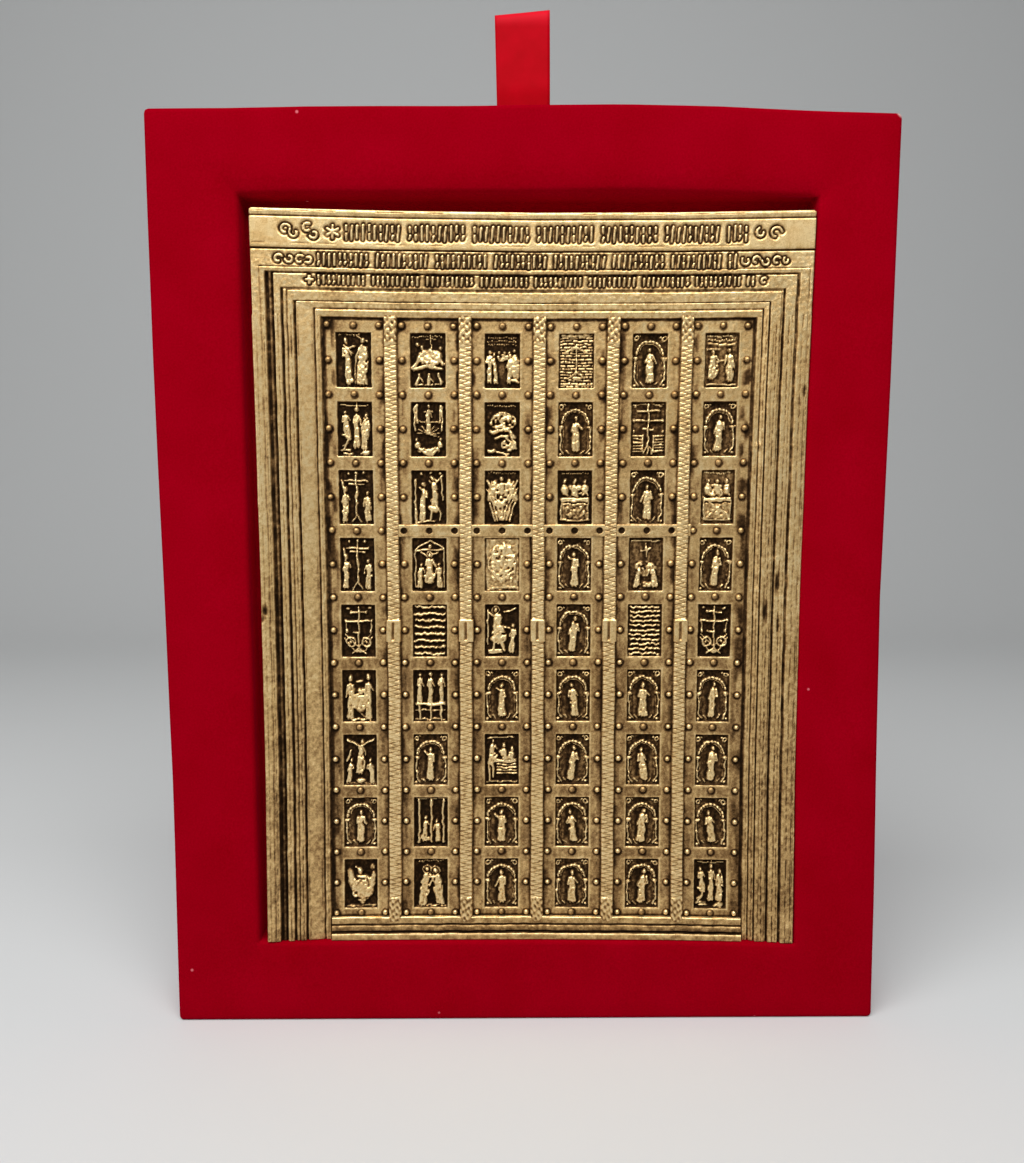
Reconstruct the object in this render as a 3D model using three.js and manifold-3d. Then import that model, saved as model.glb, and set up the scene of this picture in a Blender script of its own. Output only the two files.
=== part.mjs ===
// Souvenir relief plaque: a cast brass relief of a panelled door, set in the recess of an upright
// velvet-covered board with a ribbon loop at its top edge.
// Millimetres, +Z up, the front faces -Y. The origin is under the middle of the board.
import * as THREE from 'three';
import { mergeVertices } from 'three/addons/utils/BufferGeometryUtils.js';
import Module from 'manifold-3d';

const wasm = await Module();
wasm.setup();

// Board. Its top edge crowns and its sides are hollow by small amounts. Each pair is a place along the
// edge and how far the edge lies up or to the right of a true one there.
const boardWidth = 137.6;
const boardHeight = 173.6;
const boardThickness = 20;
const boardCorner = 1.3;
const boardEdge = 0.9;
const topEdge = [
  [-68.8, 0], [-54, 0.08], [-40, 0.4], [-10, 0.5], [18, 0.83], [36, 0.41], [55, -0.42], [68.8, -0.8],
];
const leftEdge = [[0, 0.3], [25, 0.45], [50, 0.6], [75, 0.35], [100, 0.08], [130, -0.25], [173.6, -0.25]];
const rightEdge = [[0, 0.2], [25, 0], [50, -0.45], [84, -0.9], [100, -0.65], [125, -0.33], [173.6, 0]];

// Recess in the board's front
const recess = { left: -52.2, right: 53.5, bottom: 15.4, top: 158.5, corner: 0.9 };
const recessDepth = 6;
const recessLip = 1.2;

// Plaque. Its own frame has x from its left edge, y up from its bottom edge and z out of its back.
const plaqueWidth = 103.5;
const plaqueHeight = 140;
const plaqueThickness = 5.4;
const plaqueCorner = 0.8;
const plaqueLeft = -50.5;
const seatGap = 0.3;

// Levels of the relief above the plaque's back
const fieldLevel = 3.7;
const floorLevel = 3.0;
const barLevel = 4.15;
const strapLevel = 4.4;
const collarLevel = 4.7;
const root = 0.2;

// The surround steps down to the door in five mitred bands. Each starts at these distances from the
// plaque's left, top and right edges, the outer two with a groove along their outer side.
const bands = [
  { left: 2.65, top: 11.3, right: 3.05, level: 5.05, groove: { left: 1.35, top: 0.3, right: 0.25 } },
  { left: 5.45, top: 14.3, right: 5.75, level: 4.8, groove: { left: 0.75, top: 0.25, right: 0.25 } },
  { left: 7.65, top: 16.3, right: 7.95, level: 4.55, groove: null },
  { left: 11.3, top: 17.65, right: 9.1, level: 4.3, groove: null },
  { left: 12.65, top: 19.2, right: 10.45, level: fieldLevel, groove: null },
];
const grooveDepth = 0.75;

// Lines across the whole width, from the top edge down
const crossLines = [{ top: 1.36, width: 0.25 }, { top: 7.1, width: 0.3 }];

// Threshold steps: from the top edge down to the plaque's bottom
const threshold = { left: 11.4, right: 94.4 };
const thresholdSteps = [
  { top: 135.5, level: 4.3 },
  { top: 137.2, level: 4.55 },
  { top: 138.7, level: 4.9 },
];

// Door panels
const columnCount = 6;
const rowCount = 9;
const firstColumn = 18.4;
const columnPitch = 13.8;
const firstRow = 26.95;
const rowPitch = 12.68;
const panelWidth = 6.45;
const panelHeight = 9.5;

// Straps between the columns, with a collar on each and a bar across the middle columns
const strapWidth = 2.45;
const strapTop = 18.8;
const strapFoot = 136.6;
const strapOrnament = 4.9;
const collar = { top: 75.6, height: 4.4, width: 2.95, slot: 0.5 };
const bar = { top: 57.5, height: 2.3 };
const barHole = 0.6;

// Studs: two beside each panel, three on each rail between the panels
const studRadius = 0.7;
const studRise = 0.6;
const studSides = 3;
const studPitch = rowPitch / 2;
const firstStud = firstRow - studPitch;
const studOffset = 4.8;
const barStudRow = 6;

// Three sunk lines over the door, where the lettering stands
const textLines = [
  { middle: 4.2, height: 3, from: 5, to: 98.7, level: plaqueThickness },
  { middle: 9.15, height: 2.5, from: 4, to: 99.3, level: plaqueThickness },
  { middle: 12.7, height: 1.85, from: 9.6, to: 95, level: 5.05 },
];
const textSink = 0.35;

// Ribbon
const ribbonWidth = 10;
const ribbonThickness = 0.35;
const ribbonTop = 194.4;
const ribbonSkew = 0.1;
const slot = { width: 10.7, thickness: 1.9, depth: 9 };

// Helpers for solids

// The value at x of a table of pairs, in a straight line between its entries
function valueAt(table, x) {
  const found = table.findIndex(([place]) => place >= x);
  if (found <= 0) {
    return found === 0 ? table[0][1] : table[table.length - 1][1];
  }
  const [[x0, y0], [x1, y1]] = [table[found - 1], table[found]];
  return THREE.MathUtils.mapLinear(x, x0, x1, y0, y1);
}

function toSolid(geometry) {
  const bare = geometry.clone();
  bare.deleteAttribute('normal');
  bare.deleteAttribute('uv');
  const merged = mergeVertices(bare, 1e-4);
  return new wasm.Manifold(new wasm.Mesh({
    numProp: 3,
    vertProperties: new Float32Array(merged.attributes.position.array),
    triVerts: new Uint32Array(merged.index.array),
  }));
}

function toGeometry(solid) {
  const mesh = solid.getMesh();
  const geometry = new THREE.BufferGeometry();
  geometry.setAttribute('position', new THREE.BufferAttribute(mesh.vertProperties, 3));
  geometry.setIndex(new THREE.BufferAttribute(mesh.triVerts, 1));
  return geometry;
}

// Joins halves of the list first, so that no join works on a long row of small solids
function joined(solids) {
  if (solids.length === 1) {
    return solids[0];
  }
  const middle = Math.floor(solids.length / 2);
  return joined(solids.slice(0, middle)).add(joined(solids.slice(middle)));
}

function block(left, right, bottom, top, low, high) {
  const box = new THREE.BoxGeometry(right - left, top - bottom, high - low);
  box.translate((left + right) / 2, (bottom + top) / 2, (low + high) / 2);
  return toSolid(box);
}

function prism(shape, low, high, curveSegments = 4) {
  const settings = { depth: high - low, bevelEnabled: false, curveSegments };
  const geometry = new THREE.ExtrudeGeometry(shape, settings);
  geometry.translate(0, 0, low);
  return toSolid(geometry);
}

// An oval boss with few sides that narrows towards its top; a crown of 0 brings it to a point
function boss(x, y, halfWidth, halfHeight, low, high, sides, crown, turn = 0) {
  const geometry = new THREE.CylinderGeometry(crown, 1, high - low, sides);
  geometry.rotateX(Math.PI / 2);
  geometry.scale(halfWidth, halfHeight, 1);
  geometry.rotateZ(turn);
  geometry.translate(x, y, (low + high) / 2);
  return toSolid(geometry);
}

function fromTop(distance) {
  return plaqueHeight - distance;
}

// Velvet board: closed rings of matching points, from the middle of the back round to the recess floor

const sideSteps = 7;
const cornerSteps = 2;
const roundSteps = 2;

// Points round a rounded rectangle, corner by corner, in the order every ring of the board shares
function loop(left, right, bottom, top, radius) {
  const corners = [
    [right - radius, bottom + radius, -Math.PI / 2],
    [right - radius, top - radius, 0],
    [left + radius, top - radius, Math.PI / 2],
    [left + radius, bottom + radius, Math.PI],
  ];
  const points = [];
  corners.forEach(([x, z, start], corner) => {
    for (let step = 0; step <= cornerSteps; step += 1) {
      const angle = start + (Math.PI / 2) * (step / cornerSteps);
      points.push(new THREE.Vector2(x + radius * Math.cos(angle), z + radius * Math.sin(angle)));
    }
    const from = points[points.length - 1];
    const [nextX, nextZ, nextStart] = corners[(corner + 1) % corners.length];
    const to = new THREE.Vector2(nextX, nextZ);
    to.x += radius * Math.cos(nextStart);
    to.y += radius * Math.sin(nextStart);
    for (let step = 1; step < sideSteps; step += 1) {
      points.push(new THREE.Vector2().lerpVectors(from, to, step / sideSteps));
    }
  });
  return points;
}

// A point of the board moved with the edges it lies between
function bowed(point) {
  const up = point.y / boardHeight;
  const across = point.x / boardWidth + 0.5;
  const side = THREE.MathUtils.lerp(valueAt(leftEdge, point.y), valueAt(rightEdge, point.y), across);
  return new THREE.Vector2(point.x + side, point.y + up * valueAt(topEdge, point.x));
}

function boardRing(inset, depth) {
  const half = boardWidth / 2 - inset;
  const radius = Math.max(boardCorner - inset, 0.1);
  const points = loop(-half, half, inset, boardHeight - inset, radius).map(bowed);
  return points.map((point) => new THREE.Vector3(point.x, depth, point.y));
}

function recessRing(outset, depth) {
  const { left, right, bottom, top, corner } = recess;
  const points = loop(left - outset, right + outset, bottom - outset, top + outset, corner + outset);
  return points.map((point) => new THREE.Vector3(point.x, depth, point.y));
}

function boardRings() {
  const back = boardThickness / 2;
  const rings = [];
  for (let step = 0; step <= roundSteps; step += 1) {
    const angle = (Math.PI / 2) * (step / roundSteps);
    const inset = boardEdge * (1 - Math.sin(angle));
    rings.push(boardRing(inset, back - boardEdge * (1 - Math.cos(angle))));
  }
  for (let step = 0; step <= roundSteps; step += 1) {
    const angle = (Math.PI / 2) * (step / roundSteps);
    const inset = boardEdge * (1 - Math.cos(angle));
    rings.push(boardRing(inset, -back + boardEdge * (1 - Math.sin(angle))));
  }
  for (let step = 0; step <= roundSteps; step += 1) {
    const angle = (Math.PI / 2) * (step / roundSteps);
    const outset = recessLip * (1 - Math.sin(angle));
    rings.push(recessRing(outset, -back + recessLip * (1 - Math.cos(angle))));
  }
  rings.push(recessRing(0, -back + recessDepth));
  return rings;
}

// Skins the rings with triangles and closes the first and the last with a fan
function skinned(rings) {
  const count = rings[0].length;
  const points = rings.flat();
  const middle = (ring) => ring.reduce((sum, point) => sum.add(point), new THREE.Vector3())
    .divideScalar(count);
  const firstMiddle = points.push(middle(rings[0])) - 1;
  const lastMiddle = points.push(middle(rings[rings.length - 1])) - 1;
  const faces = [];
  for (let at = 0; at < count; at += 1) {
    const next = (at + 1) % count;
    faces.push(firstMiddle, next, at);
    for (let ring = 0; ring < rings.length - 1; ring += 1) {
      const low = ring * count;
      const high = low + count;
      faces.push(low + at, low + next, high + next, low + at, high + next, high + at);
    }
    const last = (rings.length - 1) * count;
    faces.push(lastMiddle, last + at, last + next);
  }
  const geometry = new THREE.BufferGeometry().setFromPoints(points);
  geometry.setIndex(faces);
  return geometry;
}

function velvetBoard() {
  const top = boardHeight + 2;
  const cut = new THREE.BoxGeometry(slot.width, slot.thickness, top - boardHeight + slot.depth);
  cut.translate(0, 0, (top + boardHeight - slot.depth) / 2);
  return toGeometry(toSolid(skinned(boardRings())).subtract(toSolid(cut)));
}

// Plaque: surround

function roundedPlate() {
  const [w, h, r] = [plaqueWidth, plaqueHeight, plaqueCorner];
  const shape = new THREE.Shape();
  shape.moveTo(0, 0);
  shape.lineTo(w, 0);
  shape.lineTo(w, h - r);
  shape.absarc(w - r, h - r, r, 0, Math.PI / 2, false);
  shape.lineTo(r, h);
  shape.absarc(r, h - r, r, Math.PI / 2, Math.PI, false);
  return prism(shape, 0, plaqueThickness, 3);
}

// An upside-down U between two rectangles that both run down past the plaque's bottom
function channel(outer, inner, low) {
  const shape = new THREE.Shape();
  const below = -1;
  const [outerRight, innerRight] = [plaqueWidth - outer.right, plaqueWidth - inner.right];
  shape.moveTo(outer.left, below);
  shape.lineTo(inner.left, below);
  shape.lineTo(inner.left, fromTop(inner.top));
  shape.lineTo(innerRight, fromTop(inner.top));
  shape.lineTo(innerRight, below);
  shape.lineTo(outerRight, below);
  shape.lineTo(outerRight, fromTop(outer.top));
  shape.lineTo(outer.left, fromTop(outer.top));
  return prism(shape, low, plaqueThickness + 1);
}

function surround() {
  const above = plaqueThickness + 1;
  let plate = roundedPlate();
  bands.forEach((band) => {
    const right = plaqueWidth - band.right;
    plate = plate.subtract(block(band.left, right, -1, fromTop(band.top), band.level, above));
  });
  bands.filter((band) => band.groove).forEach((band) => {
    const inner = {
      left: band.left + band.groove.left,
      top: band.top + band.groove.top,
      right: band.right + band.groove.right,
    };
    plate = plate.subtract(channel(band, inner, band.level - grooveDepth));
  });
  crossLines.forEach((line) => {
    const low = plaqueThickness - grooveDepth;
    const sunk = block(-1, plaqueWidth + 1, fromTop(line.top + line.width), fromTop(line.top), low, above);
    plate = plate.subtract(sunk);
  });
  thresholdSteps.forEach((step) => {
    const { left, right } = threshold;
    plate = plate.add(block(left, right, 0, fromTop(step.top), fieldLevel - root, step.level));
  });
  return plate;
}

// Plaque: the sunk lines

function sunkLine(line) {
  const y = fromTop(line.middle);
  const low = line.level - textSink;
  const half = line.height / 2;
  return block(line.from, line.to, y - half, y + half, low, line.level + 1);
}

// Plaque: door furniture

function columnX(column) {
  return firstColumn + column * columnPitch;
}

function rowY(row) {
  return fromTop(firstRow + row * rowPitch);
}

function strap(x) {
  const half = strapWidth / 2;
  const foot = fromTop(strapFoot);
  const shape = new THREE.Shape();
  shape.moveTo(x - half, foot + half);
  shape.absarc(x, foot + half, half, Math.PI, 2 * Math.PI, false);
  shape.lineTo(x + half, fromTop(strapTop));
  shape.lineTo(x - half, fromTop(strapTop));
  const low = fieldLevel - root;
  const inset = 0.3;
  const high = strapLevel + 0.2;
  const head = fromTop(strapTop) - inset;
  const foothold = foot + half;
  const rib = half - inset;
  return joined([
    prism(shape, low, strapLevel, 2),
    block(x - rib, x + rib, head - strapOrnament, head, strapLevel - root, high),
    block(x - rib, x + rib, foothold, foothold + strapOrnament - half, strapLevel - root, high),
  ]);
}

function strapCollar(x) {
  const top = fromTop(collar.top);
  const bottom = top - collar.height;
  const half = collar.width / 2;
  const body = block(x - half, x + half, bottom, top, fieldLevel - root, collarLevel);
  const inset = 0.6;
  const cut = collar.slot / 2;
  const middle = block(x - cut, x + cut, bottom + inset, top - inset, strapLevel, collarLevel + 1);
  return body.subtract(middle);
}

function crossBar() {
  const left = columnX(0) + columnPitch / 2;
  const right = columnX(columnCount - 2) + columnPitch / 2;
  const top = fromTop(bar.top);
  const end = right + strapWidth / 2 + 0.6;
  return block(left, end, top - bar.height, top, fieldLevel - root, barLevel);
}

// Studs stand on the door; where the bar crosses the inner columns it has holes in their place
function studPlaces() {
  const places = [];
  for (let column = 0; column < columnCount; column += 1) {
    for (let row = 0; row <= 2 * rowCount; row += 1) {
      const offsets = row % 2 === 0 ? [-studOffset, 0, studOffset] : [-studOffset, studOffset];
      const inner = column > 0 && column < columnCount - 1;
      offsets.forEach((offset) => {
        const x = columnX(column) + offset;
        const y = fromTop(firstStud + row * studPitch);
        places.push({ x, y, hole: inner && row === barStudRow });
      });
    }
  }
  return places;
}

function studs() {
  const low = fieldLevel - root;
  const high = fieldLevel + studRise;
  const places = studPlaces().filter((place) => !place.hole);
  return joined(places.map(({ x, y }) => boss(x, y, studRadius, studRadius, low, high, studSides, 0)));
}

function barHoles() {
  const places = studPlaces().filter((place) => place.hole);
  const [low, high] = [fieldLevel - 0.3, barLevel + 1];
  return joined(places.map(({ x, y }) => boss(x, y, barHole, barHole, low, high, 4, 1)));
}

// Panel motifs. Each takes the middle of its panel and returns solids that stand on the panel's floor.

const motifRoot = floorLevel - root;
const figureHigh = floorLevel + 0.75;
const detailHigh = floorLevel + 0.5;
const panelHalf = panelHeight / 2;

// A squared boss that narrows towards its top
function hewn(x, y, halfWidth, halfHeight, high, turn = 0) {
  const box = new THREE.BoxGeometry(2 * halfWidth, 2 * halfHeight, high - motifRoot);
  const position = box.attributes.position;
  for (let at = 0; at < position.count; at += 1) {
    if (position.getZ(at) > 0) {
      position.setXY(at, position.getX(at) * 0.5, position.getY(at) * 0.78);
    }
  }
  box.rotateZ(turn);
  box.translate(x, y, (motifRoot + high) / 2);
  return toSolid(box);
}

// A robed figure: a tall hewn boss for the robe and a small pointed one for the head
function figure(x, y, foot, height, width, lean = 0) {
  const middle = y + foot + height * 0.4;
  const head = y + foot + height * 0.92;
  const headX = x - Math.sin(lean) * height * 0.5;
  return [
    hewn(x, middle, width / 2, height * 0.4, figureHigh, lean),
    boss(headX, head, height * 0.1 + 0.16, height * 0.1 + 0.16, motifRoot, figureHigh, 3, 0),
  ];
}

function rail(x, y, width, height) {
  return block(x - width / 2, x + width / 2, y - height / 2, y + height / 2, motifRoot, detailHigh);
}

function upright(x, bottom, top, width = 0.6) {
  return rail(x, (bottom + top) / 2, width, top - bottom);
}

// A figure under a round arch on two columns
function arched(x, y, height = 6.6, lean = 0) {
  const outer = 2.95;
  const inner = 2.4;
  const spring = y + panelHalf - 0.35 - outer;
  const bottom = y - panelHalf + 0.35;
  const shape = new THREE.Shape();
  shape.moveTo(x - outer, bottom);
  shape.lineTo(x - inner, bottom);
  shape.lineTo(x - inner, spring);
  shape.absarc(x, spring, inner, Math.PI, 0, true);
  shape.lineTo(x + inner, bottom);
  shape.lineTo(x + outer, bottom);
  shape.lineTo(x + outer, spring);
  shape.absarc(x, spring, outer, 0, Math.PI, false);
  return [prism(shape, motifRoot, detailHigh, 2), ...figure(x, y, -panelHalf + 0.5, height, 2.2, lean)];
}

function pair(x, y) {
  const foot = 0.3 - panelHalf;
  return [...figure(x - 1.4, y, foot, 7.6, 2.3, 0.06), ...figure(x + 1.4, y, foot, 8, 2.3, -0.05)];
}

function trio(x, y) {
  const foot = 0.4 - panelHalf;
  const heights = [6.2, 7.2, 6.2];
  return heights.flatMap((height, at) => figure(x + 2 * (at - 1), y, foot, height, 1.9));
}

// Small figures over a swelling ground
function mound(x, y) {
  return [
    boss(x, y - 0.7, 2.8, 2.1, motifRoot, figureHigh, 6, 0.55),
    boss(x - 1.5, y + 2.2, 0.75, 1.3, motifRoot, figureHigh, 4, 0),
    boss(x + 1.6, y + 2, 0.75, 1.3, motifRoot, figureHigh, 4, 0),
    boss(x - 1.5, y - 3.7, 0.9, 0.8, motifRoot, figureHigh, 4, 0),
    boss(x + 1.5, y - 3.7, 0.9, 0.8, motifRoot, figureHigh, 4, 0),
  ];
}

// A cross with a wide arm and a figure on each side of its foot
function crossed(x, y) {
  return [
    joined([upright(x, y - 3.6, y + 4.1, 0.7), rail(x, y + 2.6, 4.8, 0.65)]),
    boss(x, y - 3.9, 1.2, 0.7, motifRoot, figureHigh, 4, 0.2),
    ...figure(x - 2, y, -panelHalf + 0.4, 5.2, 1.5),
    ...figure(x + 2, y, -panelHalf + 0.4, 5.2, 1.5),
  ];
}

// A cross with two arms over a triangular foot and curled side leaves
function leafCross(x, y) {
  return [
    joined([upright(x, y - 3.4, y + 4.2, 0.6), rail(x, y + 2.9, 3.2, 0.55), rail(x, y + 1.2, 5.2, 0.55)]),
    boss(x, y - 3.8, 1.3, 0.9, motifRoot, detailHigh, 3, 0.2, Math.PI / 2),
    boss(x - 1.9, y - 2, 0.8, 1.1, motifRoot, detailHigh, 4, 0.4),
    boss(x + 1.9, y - 2, 0.8, 1.1, motifRoot, detailHigh, 4, 0.4),
  ];
}

// Rows of raised bars
function lines(x, y) {
  const count = 8;
  const pitch = (panelHeight - 1.1) / count;
  return Array.from({ length: count }, (_, at) => rail(x, y + panelHalf - 1.05 - at * pitch, 5.9, 0.5));
}

// Three busts behind a table
function table(x, y) {
  return [
    rail(x, y - 0.6, 5.4, 0.9),
    boss(x, y - 2.9, 2.2, 1.2, motifRoot, detailHigh, 4, 0.6, 0),
    ...[-1.8, 0, 1.8].map((offset) => boss(x + offset, y + 1.6, 0.8, 1.4, motifRoot, figureHigh, 4, 0)),
  ];
}

function boat(x, y) {
  return [
    boss(x, y - 2.4, 2.9, 1.5, motifRoot, figureHigh, 6, 0.5),
    ...[-1.9, 0, 1.9].map((offset) => boss(x + offset, y + 0.8, 0.85, 1.8, motifRoot, figureHigh, 4, 0)),
  ];
}

function star(x, y) {
  return [
    upright(x, y - 0.4, y + 4.1, 0.45),
    boss(x, y - 0.9, 1.1, 1.1, motifRoot, figureHigh, 6, 0.3),
    boss(x - 1.7, y - 3.6, 1.1, 0.8, motifRoot, figureHigh, 4, 0),
    boss(x + 1.7, y - 3.6, 1.1, 0.8, motifRoot, figureHigh, 4, 0),
    boss(x - 1.9, y + 1.6, 0.6, 1.6, motifRoot, detailHigh, 4, 0.2, -0.5),
    boss(x + 1.9, y + 1.6, 0.6, 1.6, motifRoot, detailHigh, 4, 0.2, 0.5),
  ];
}

function cloud(x, y) {
  return [boss(x, y, 3, 4.4, motifRoot, floorLevel + 0.6, 8, 0.8, Math.PI / 8)];
}

function canopy(x, y) {
  return [
    boss(x, y + 2.7, 2.9, 1.4, motifRoot, detailHigh, 4, 0.4),
    ...figure(x, y, -panelHalf + 0.5, 5.6, 2.2),
    upright(x - 2.6, y - 4.2, y + 2, 0.5),
    upright(x + 2.6, y - 4.2, y + 2, 0.5),
  ];
}

function seated(x, y) {
  return [
    boss(x - 1.1, y - 0.2, 1.6, 2.6, motifRoot, figureHigh, 6, 0.4, 0.25),
    boss(x - 1.4, y + 3.3, 0.7, 0.8, motifRoot, figureHigh, 4, 0.2),
    boss(x - 0.2, y - 3.6, 2.2, 0.8, motifRoot, figureHigh, 4, 0.5),
    ...figure(x + 2, y, -panelHalf + 1.4, 5, 1.4),
  ];
}

// Three slim columns with a small group at the foot
function columns(x, y) {
  return [
    ...[-2, 0.1, 2.2].map((offset) => upright(x + offset, y - 3.6, y + 4, 0.6)),
    boss(x - 1.2, y - 3.6, 1.5, 0.9, motifRoot, figureHigh, 5, 0.5),
  ];
}

function barredTrio(x, y) {
  return [...[-2, 0, 2].map((offset) => upright(x + offset, y - 1, y + 4, 1)), rail(x, y - 1.6, 5.4, 1.2)];
}

// A bird with raised wings
function bird(x, y) {
  return [
    boss(x + 0.2, y - 1.1, 1.7, 2.6, motifRoot, figureHigh, 6, 0.5),
    boss(x - 1.8, y + 1.2, 0.9, 2.9, motifRoot, detailHigh, 4, 0.3, 0.3),
    boss(x + 1.9, y + 0.8, 0.9, 2.8, motifRoot, detailHigh, 4, 0.3, -0.45),
    boss(x - 0.1, y + 2, 0.7, 0.8, motifRoot, figureHigh, 4, 0.2),
  ];
}

const raised = (x, y) => arched(x, y, 6.9, -0.12);
const bowing = (x, y) => arched(x, y, 6.3, 0.14);

const motifs = [
  [pair, mound, trio, leafCross, arched, pair],
  [trio, star, mound, arched, leafCross, raised],
  [crossed, pair, boat, table, arched, table],
  [crossed, canopy, cloud, arched, mound, raised],
  [leafCross, lines, seated, raised, lines, leafCross],
  [pair, barredTrio, arched, bowing, arched, raised],
  [crossed, arched, table, raised, bowing, raised],
  [arched, columns, arched, bowing, raised, bowing],
  [bird, pair, arched, arched, raised, trio],
];

function panelCuts() {
  const cuts = [];
  motifs.forEach((row, rowAt) => row.forEach((motif, columnAt) => {
    const [x, y] = [columnX(columnAt), rowY(rowAt)];
    const [w, h] = [panelWidth / 2, panelHeight / 2];
    cuts.push(block(x - w, x + w, y - h, y + h, floorLevel, fieldLevel + 0.3));
  }));
  return joined(cuts);
}

function panelMotifs() {
  return joined(motifs.flatMap((row, rowAt) => row.flatMap(
    (motif, columnAt) => motif(columnX(columnAt), rowY(rowAt)),
  )));
}

function doorPlaque() {
  let plaque = surround();
  textLines.forEach((line) => {
    plaque = plaque.subtract(sunkLine(line));
  });
  plaque = plaque.subtract(panelCuts()).add(panelMotifs());
  plaque = plaque.add(crossBar()).subtract(barHoles()).add(studs());
  for (let column = 0; column < columnCount - 1; column += 1) {
    const x = columnX(column) + columnPitch / 2;
    plaque = plaque.add(strap(x)).add(strapCollar(x));
  }
  return toGeometry(plaque);
}

// Ribbon: a flat loop folded at the top, its two ends together in the board's slot

function ribbonSection() {
  const foot = boardHeight - slot.depth + seatGap;
  const centre = new THREE.CatmullRomCurve3([
    [-0.35, foot], [-0.35, boardHeight - 1], [-0.95, boardHeight + 7], [-0.85, ribbonTop - 1.5],
    [0, ribbonTop - ribbonThickness / 2], [0.85, ribbonTop - 1.5], [0.95, boardHeight + 7],
    [0.35, boardHeight - 1], [0.35, foot],
  ].map(([y, z]) => new THREE.Vector3(y, z, 0)), false, 'centripetal');
  const steps = 18;
  const outer = [];
  const inner = [];
  for (let step = 0; step <= steps; step += 1) {
    const at = centre.getPoint(step / steps);
    const along = centre.getTangent(step / steps);
    const side = new THREE.Vector2(-along.y, along.x).multiplyScalar(ribbonThickness / 2);
    outer.push(new THREE.Vector2(at.x, at.y).add(side));
    inner.push(new THREE.Vector2(at.x, at.y).sub(side));
  }
  return new THREE.Shape([...outer, ...inner.reverse()]);
}

// The section is extruded along x; above the board the loop leans, so its fold rises to the right
function ribbonLoop() {
  const settings = { depth: ribbonWidth, bevelEnabled: false };
  const geometry = new THREE.ExtrudeGeometry(ribbonSection(), settings);
  geometry.translate(0, 0, -ribbonWidth / 2);
  geometry.applyMatrix4(new THREE.Matrix4().set(0, 0, 1, 0, 1, 0, 0, 0, 0, 1, 0, 0, 0, 0, 0, 1));
  const position = geometry.attributes.position;
  for (let at = 0; at < position.count; at += 1) {
    const free = Math.max(position.getZ(at) - boardHeight, 0) / (ribbonTop - boardHeight);
    const x = position.getX(at);
    position.setX(at, x - (x < 0 ? 0.5 * free : 0.1 * free));
    position.setZ(at, position.getZ(at) + ribbonSkew * x * free);
  }
  return toGeometry(toSolid(geometry));
}

// Scene

function part(name, geometry, color, roughness, metalness) {
  const mesh = new THREE.Mesh(geometry, new THREE.MeshStandardMaterial({ color, roughness, metalness }));
  mesh.name = name;
  return mesh;
}

const board = part('velvet_board', velvetBoard(), '#9c0a1e', 0.95, 0);
const plaque = part('door_relief_plaque', doorPlaque(), '#b08a4c', 0.42, 1);
const ribbon = part('ribbon_loop', ribbonLoop(), '#b8141f', 0.4, 0);

// The plaque stands up in the recess, face to the front, on the recess's lower edge
plaque.rotation.x = Math.PI / 2;
plaque.position.set(plaqueLeft, -boardThickness / 2 + recessDepth - seatGap, recess.bottom + seatGap);

const object = new THREE.Group();
object.add(board, plaque, ribbon);

export default object;
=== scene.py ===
"""A small cast brass relief of a church door, set in a velvet-covered board with a ribbon loop."""
import math

import bmesh
import bpy
import numpy as np
from mathutils import Matrix, Vector


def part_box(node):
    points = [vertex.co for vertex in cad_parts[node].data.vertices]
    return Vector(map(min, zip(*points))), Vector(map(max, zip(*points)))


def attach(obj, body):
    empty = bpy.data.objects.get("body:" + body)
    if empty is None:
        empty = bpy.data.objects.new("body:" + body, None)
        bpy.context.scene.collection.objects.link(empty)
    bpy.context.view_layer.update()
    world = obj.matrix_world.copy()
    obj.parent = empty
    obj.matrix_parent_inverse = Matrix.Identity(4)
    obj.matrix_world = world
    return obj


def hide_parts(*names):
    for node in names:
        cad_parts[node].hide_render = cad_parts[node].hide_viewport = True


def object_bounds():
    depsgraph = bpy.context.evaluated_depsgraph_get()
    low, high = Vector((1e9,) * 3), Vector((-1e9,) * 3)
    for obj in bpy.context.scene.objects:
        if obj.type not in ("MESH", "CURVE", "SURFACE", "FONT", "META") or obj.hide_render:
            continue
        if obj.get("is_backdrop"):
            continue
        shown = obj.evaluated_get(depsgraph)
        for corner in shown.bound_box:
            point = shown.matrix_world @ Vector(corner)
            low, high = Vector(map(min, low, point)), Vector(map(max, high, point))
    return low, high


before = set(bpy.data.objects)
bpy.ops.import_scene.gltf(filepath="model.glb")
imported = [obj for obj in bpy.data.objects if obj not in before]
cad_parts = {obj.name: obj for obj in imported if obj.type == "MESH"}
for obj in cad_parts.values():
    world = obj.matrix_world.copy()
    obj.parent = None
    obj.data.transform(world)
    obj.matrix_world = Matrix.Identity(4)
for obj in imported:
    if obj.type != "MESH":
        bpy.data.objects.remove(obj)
cad_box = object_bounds()

# Camera: it stands straight in front of the relief, close, a little above the middle,
# and looks slightly down, as the photograph was taken.
MM = 0.001
PICTURE_WIDTH = 1024
PICTURE_HEIGHT = 1163
FOCAL_PIXELS = 1025
EYE = Vector((-3.66, -203.2, 107.3)) * MM
LOOK_DOWN = math.radians(5.9)
TURN_RIGHT = math.radians(0.37)
ROLL = math.radians(-0.09)

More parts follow.
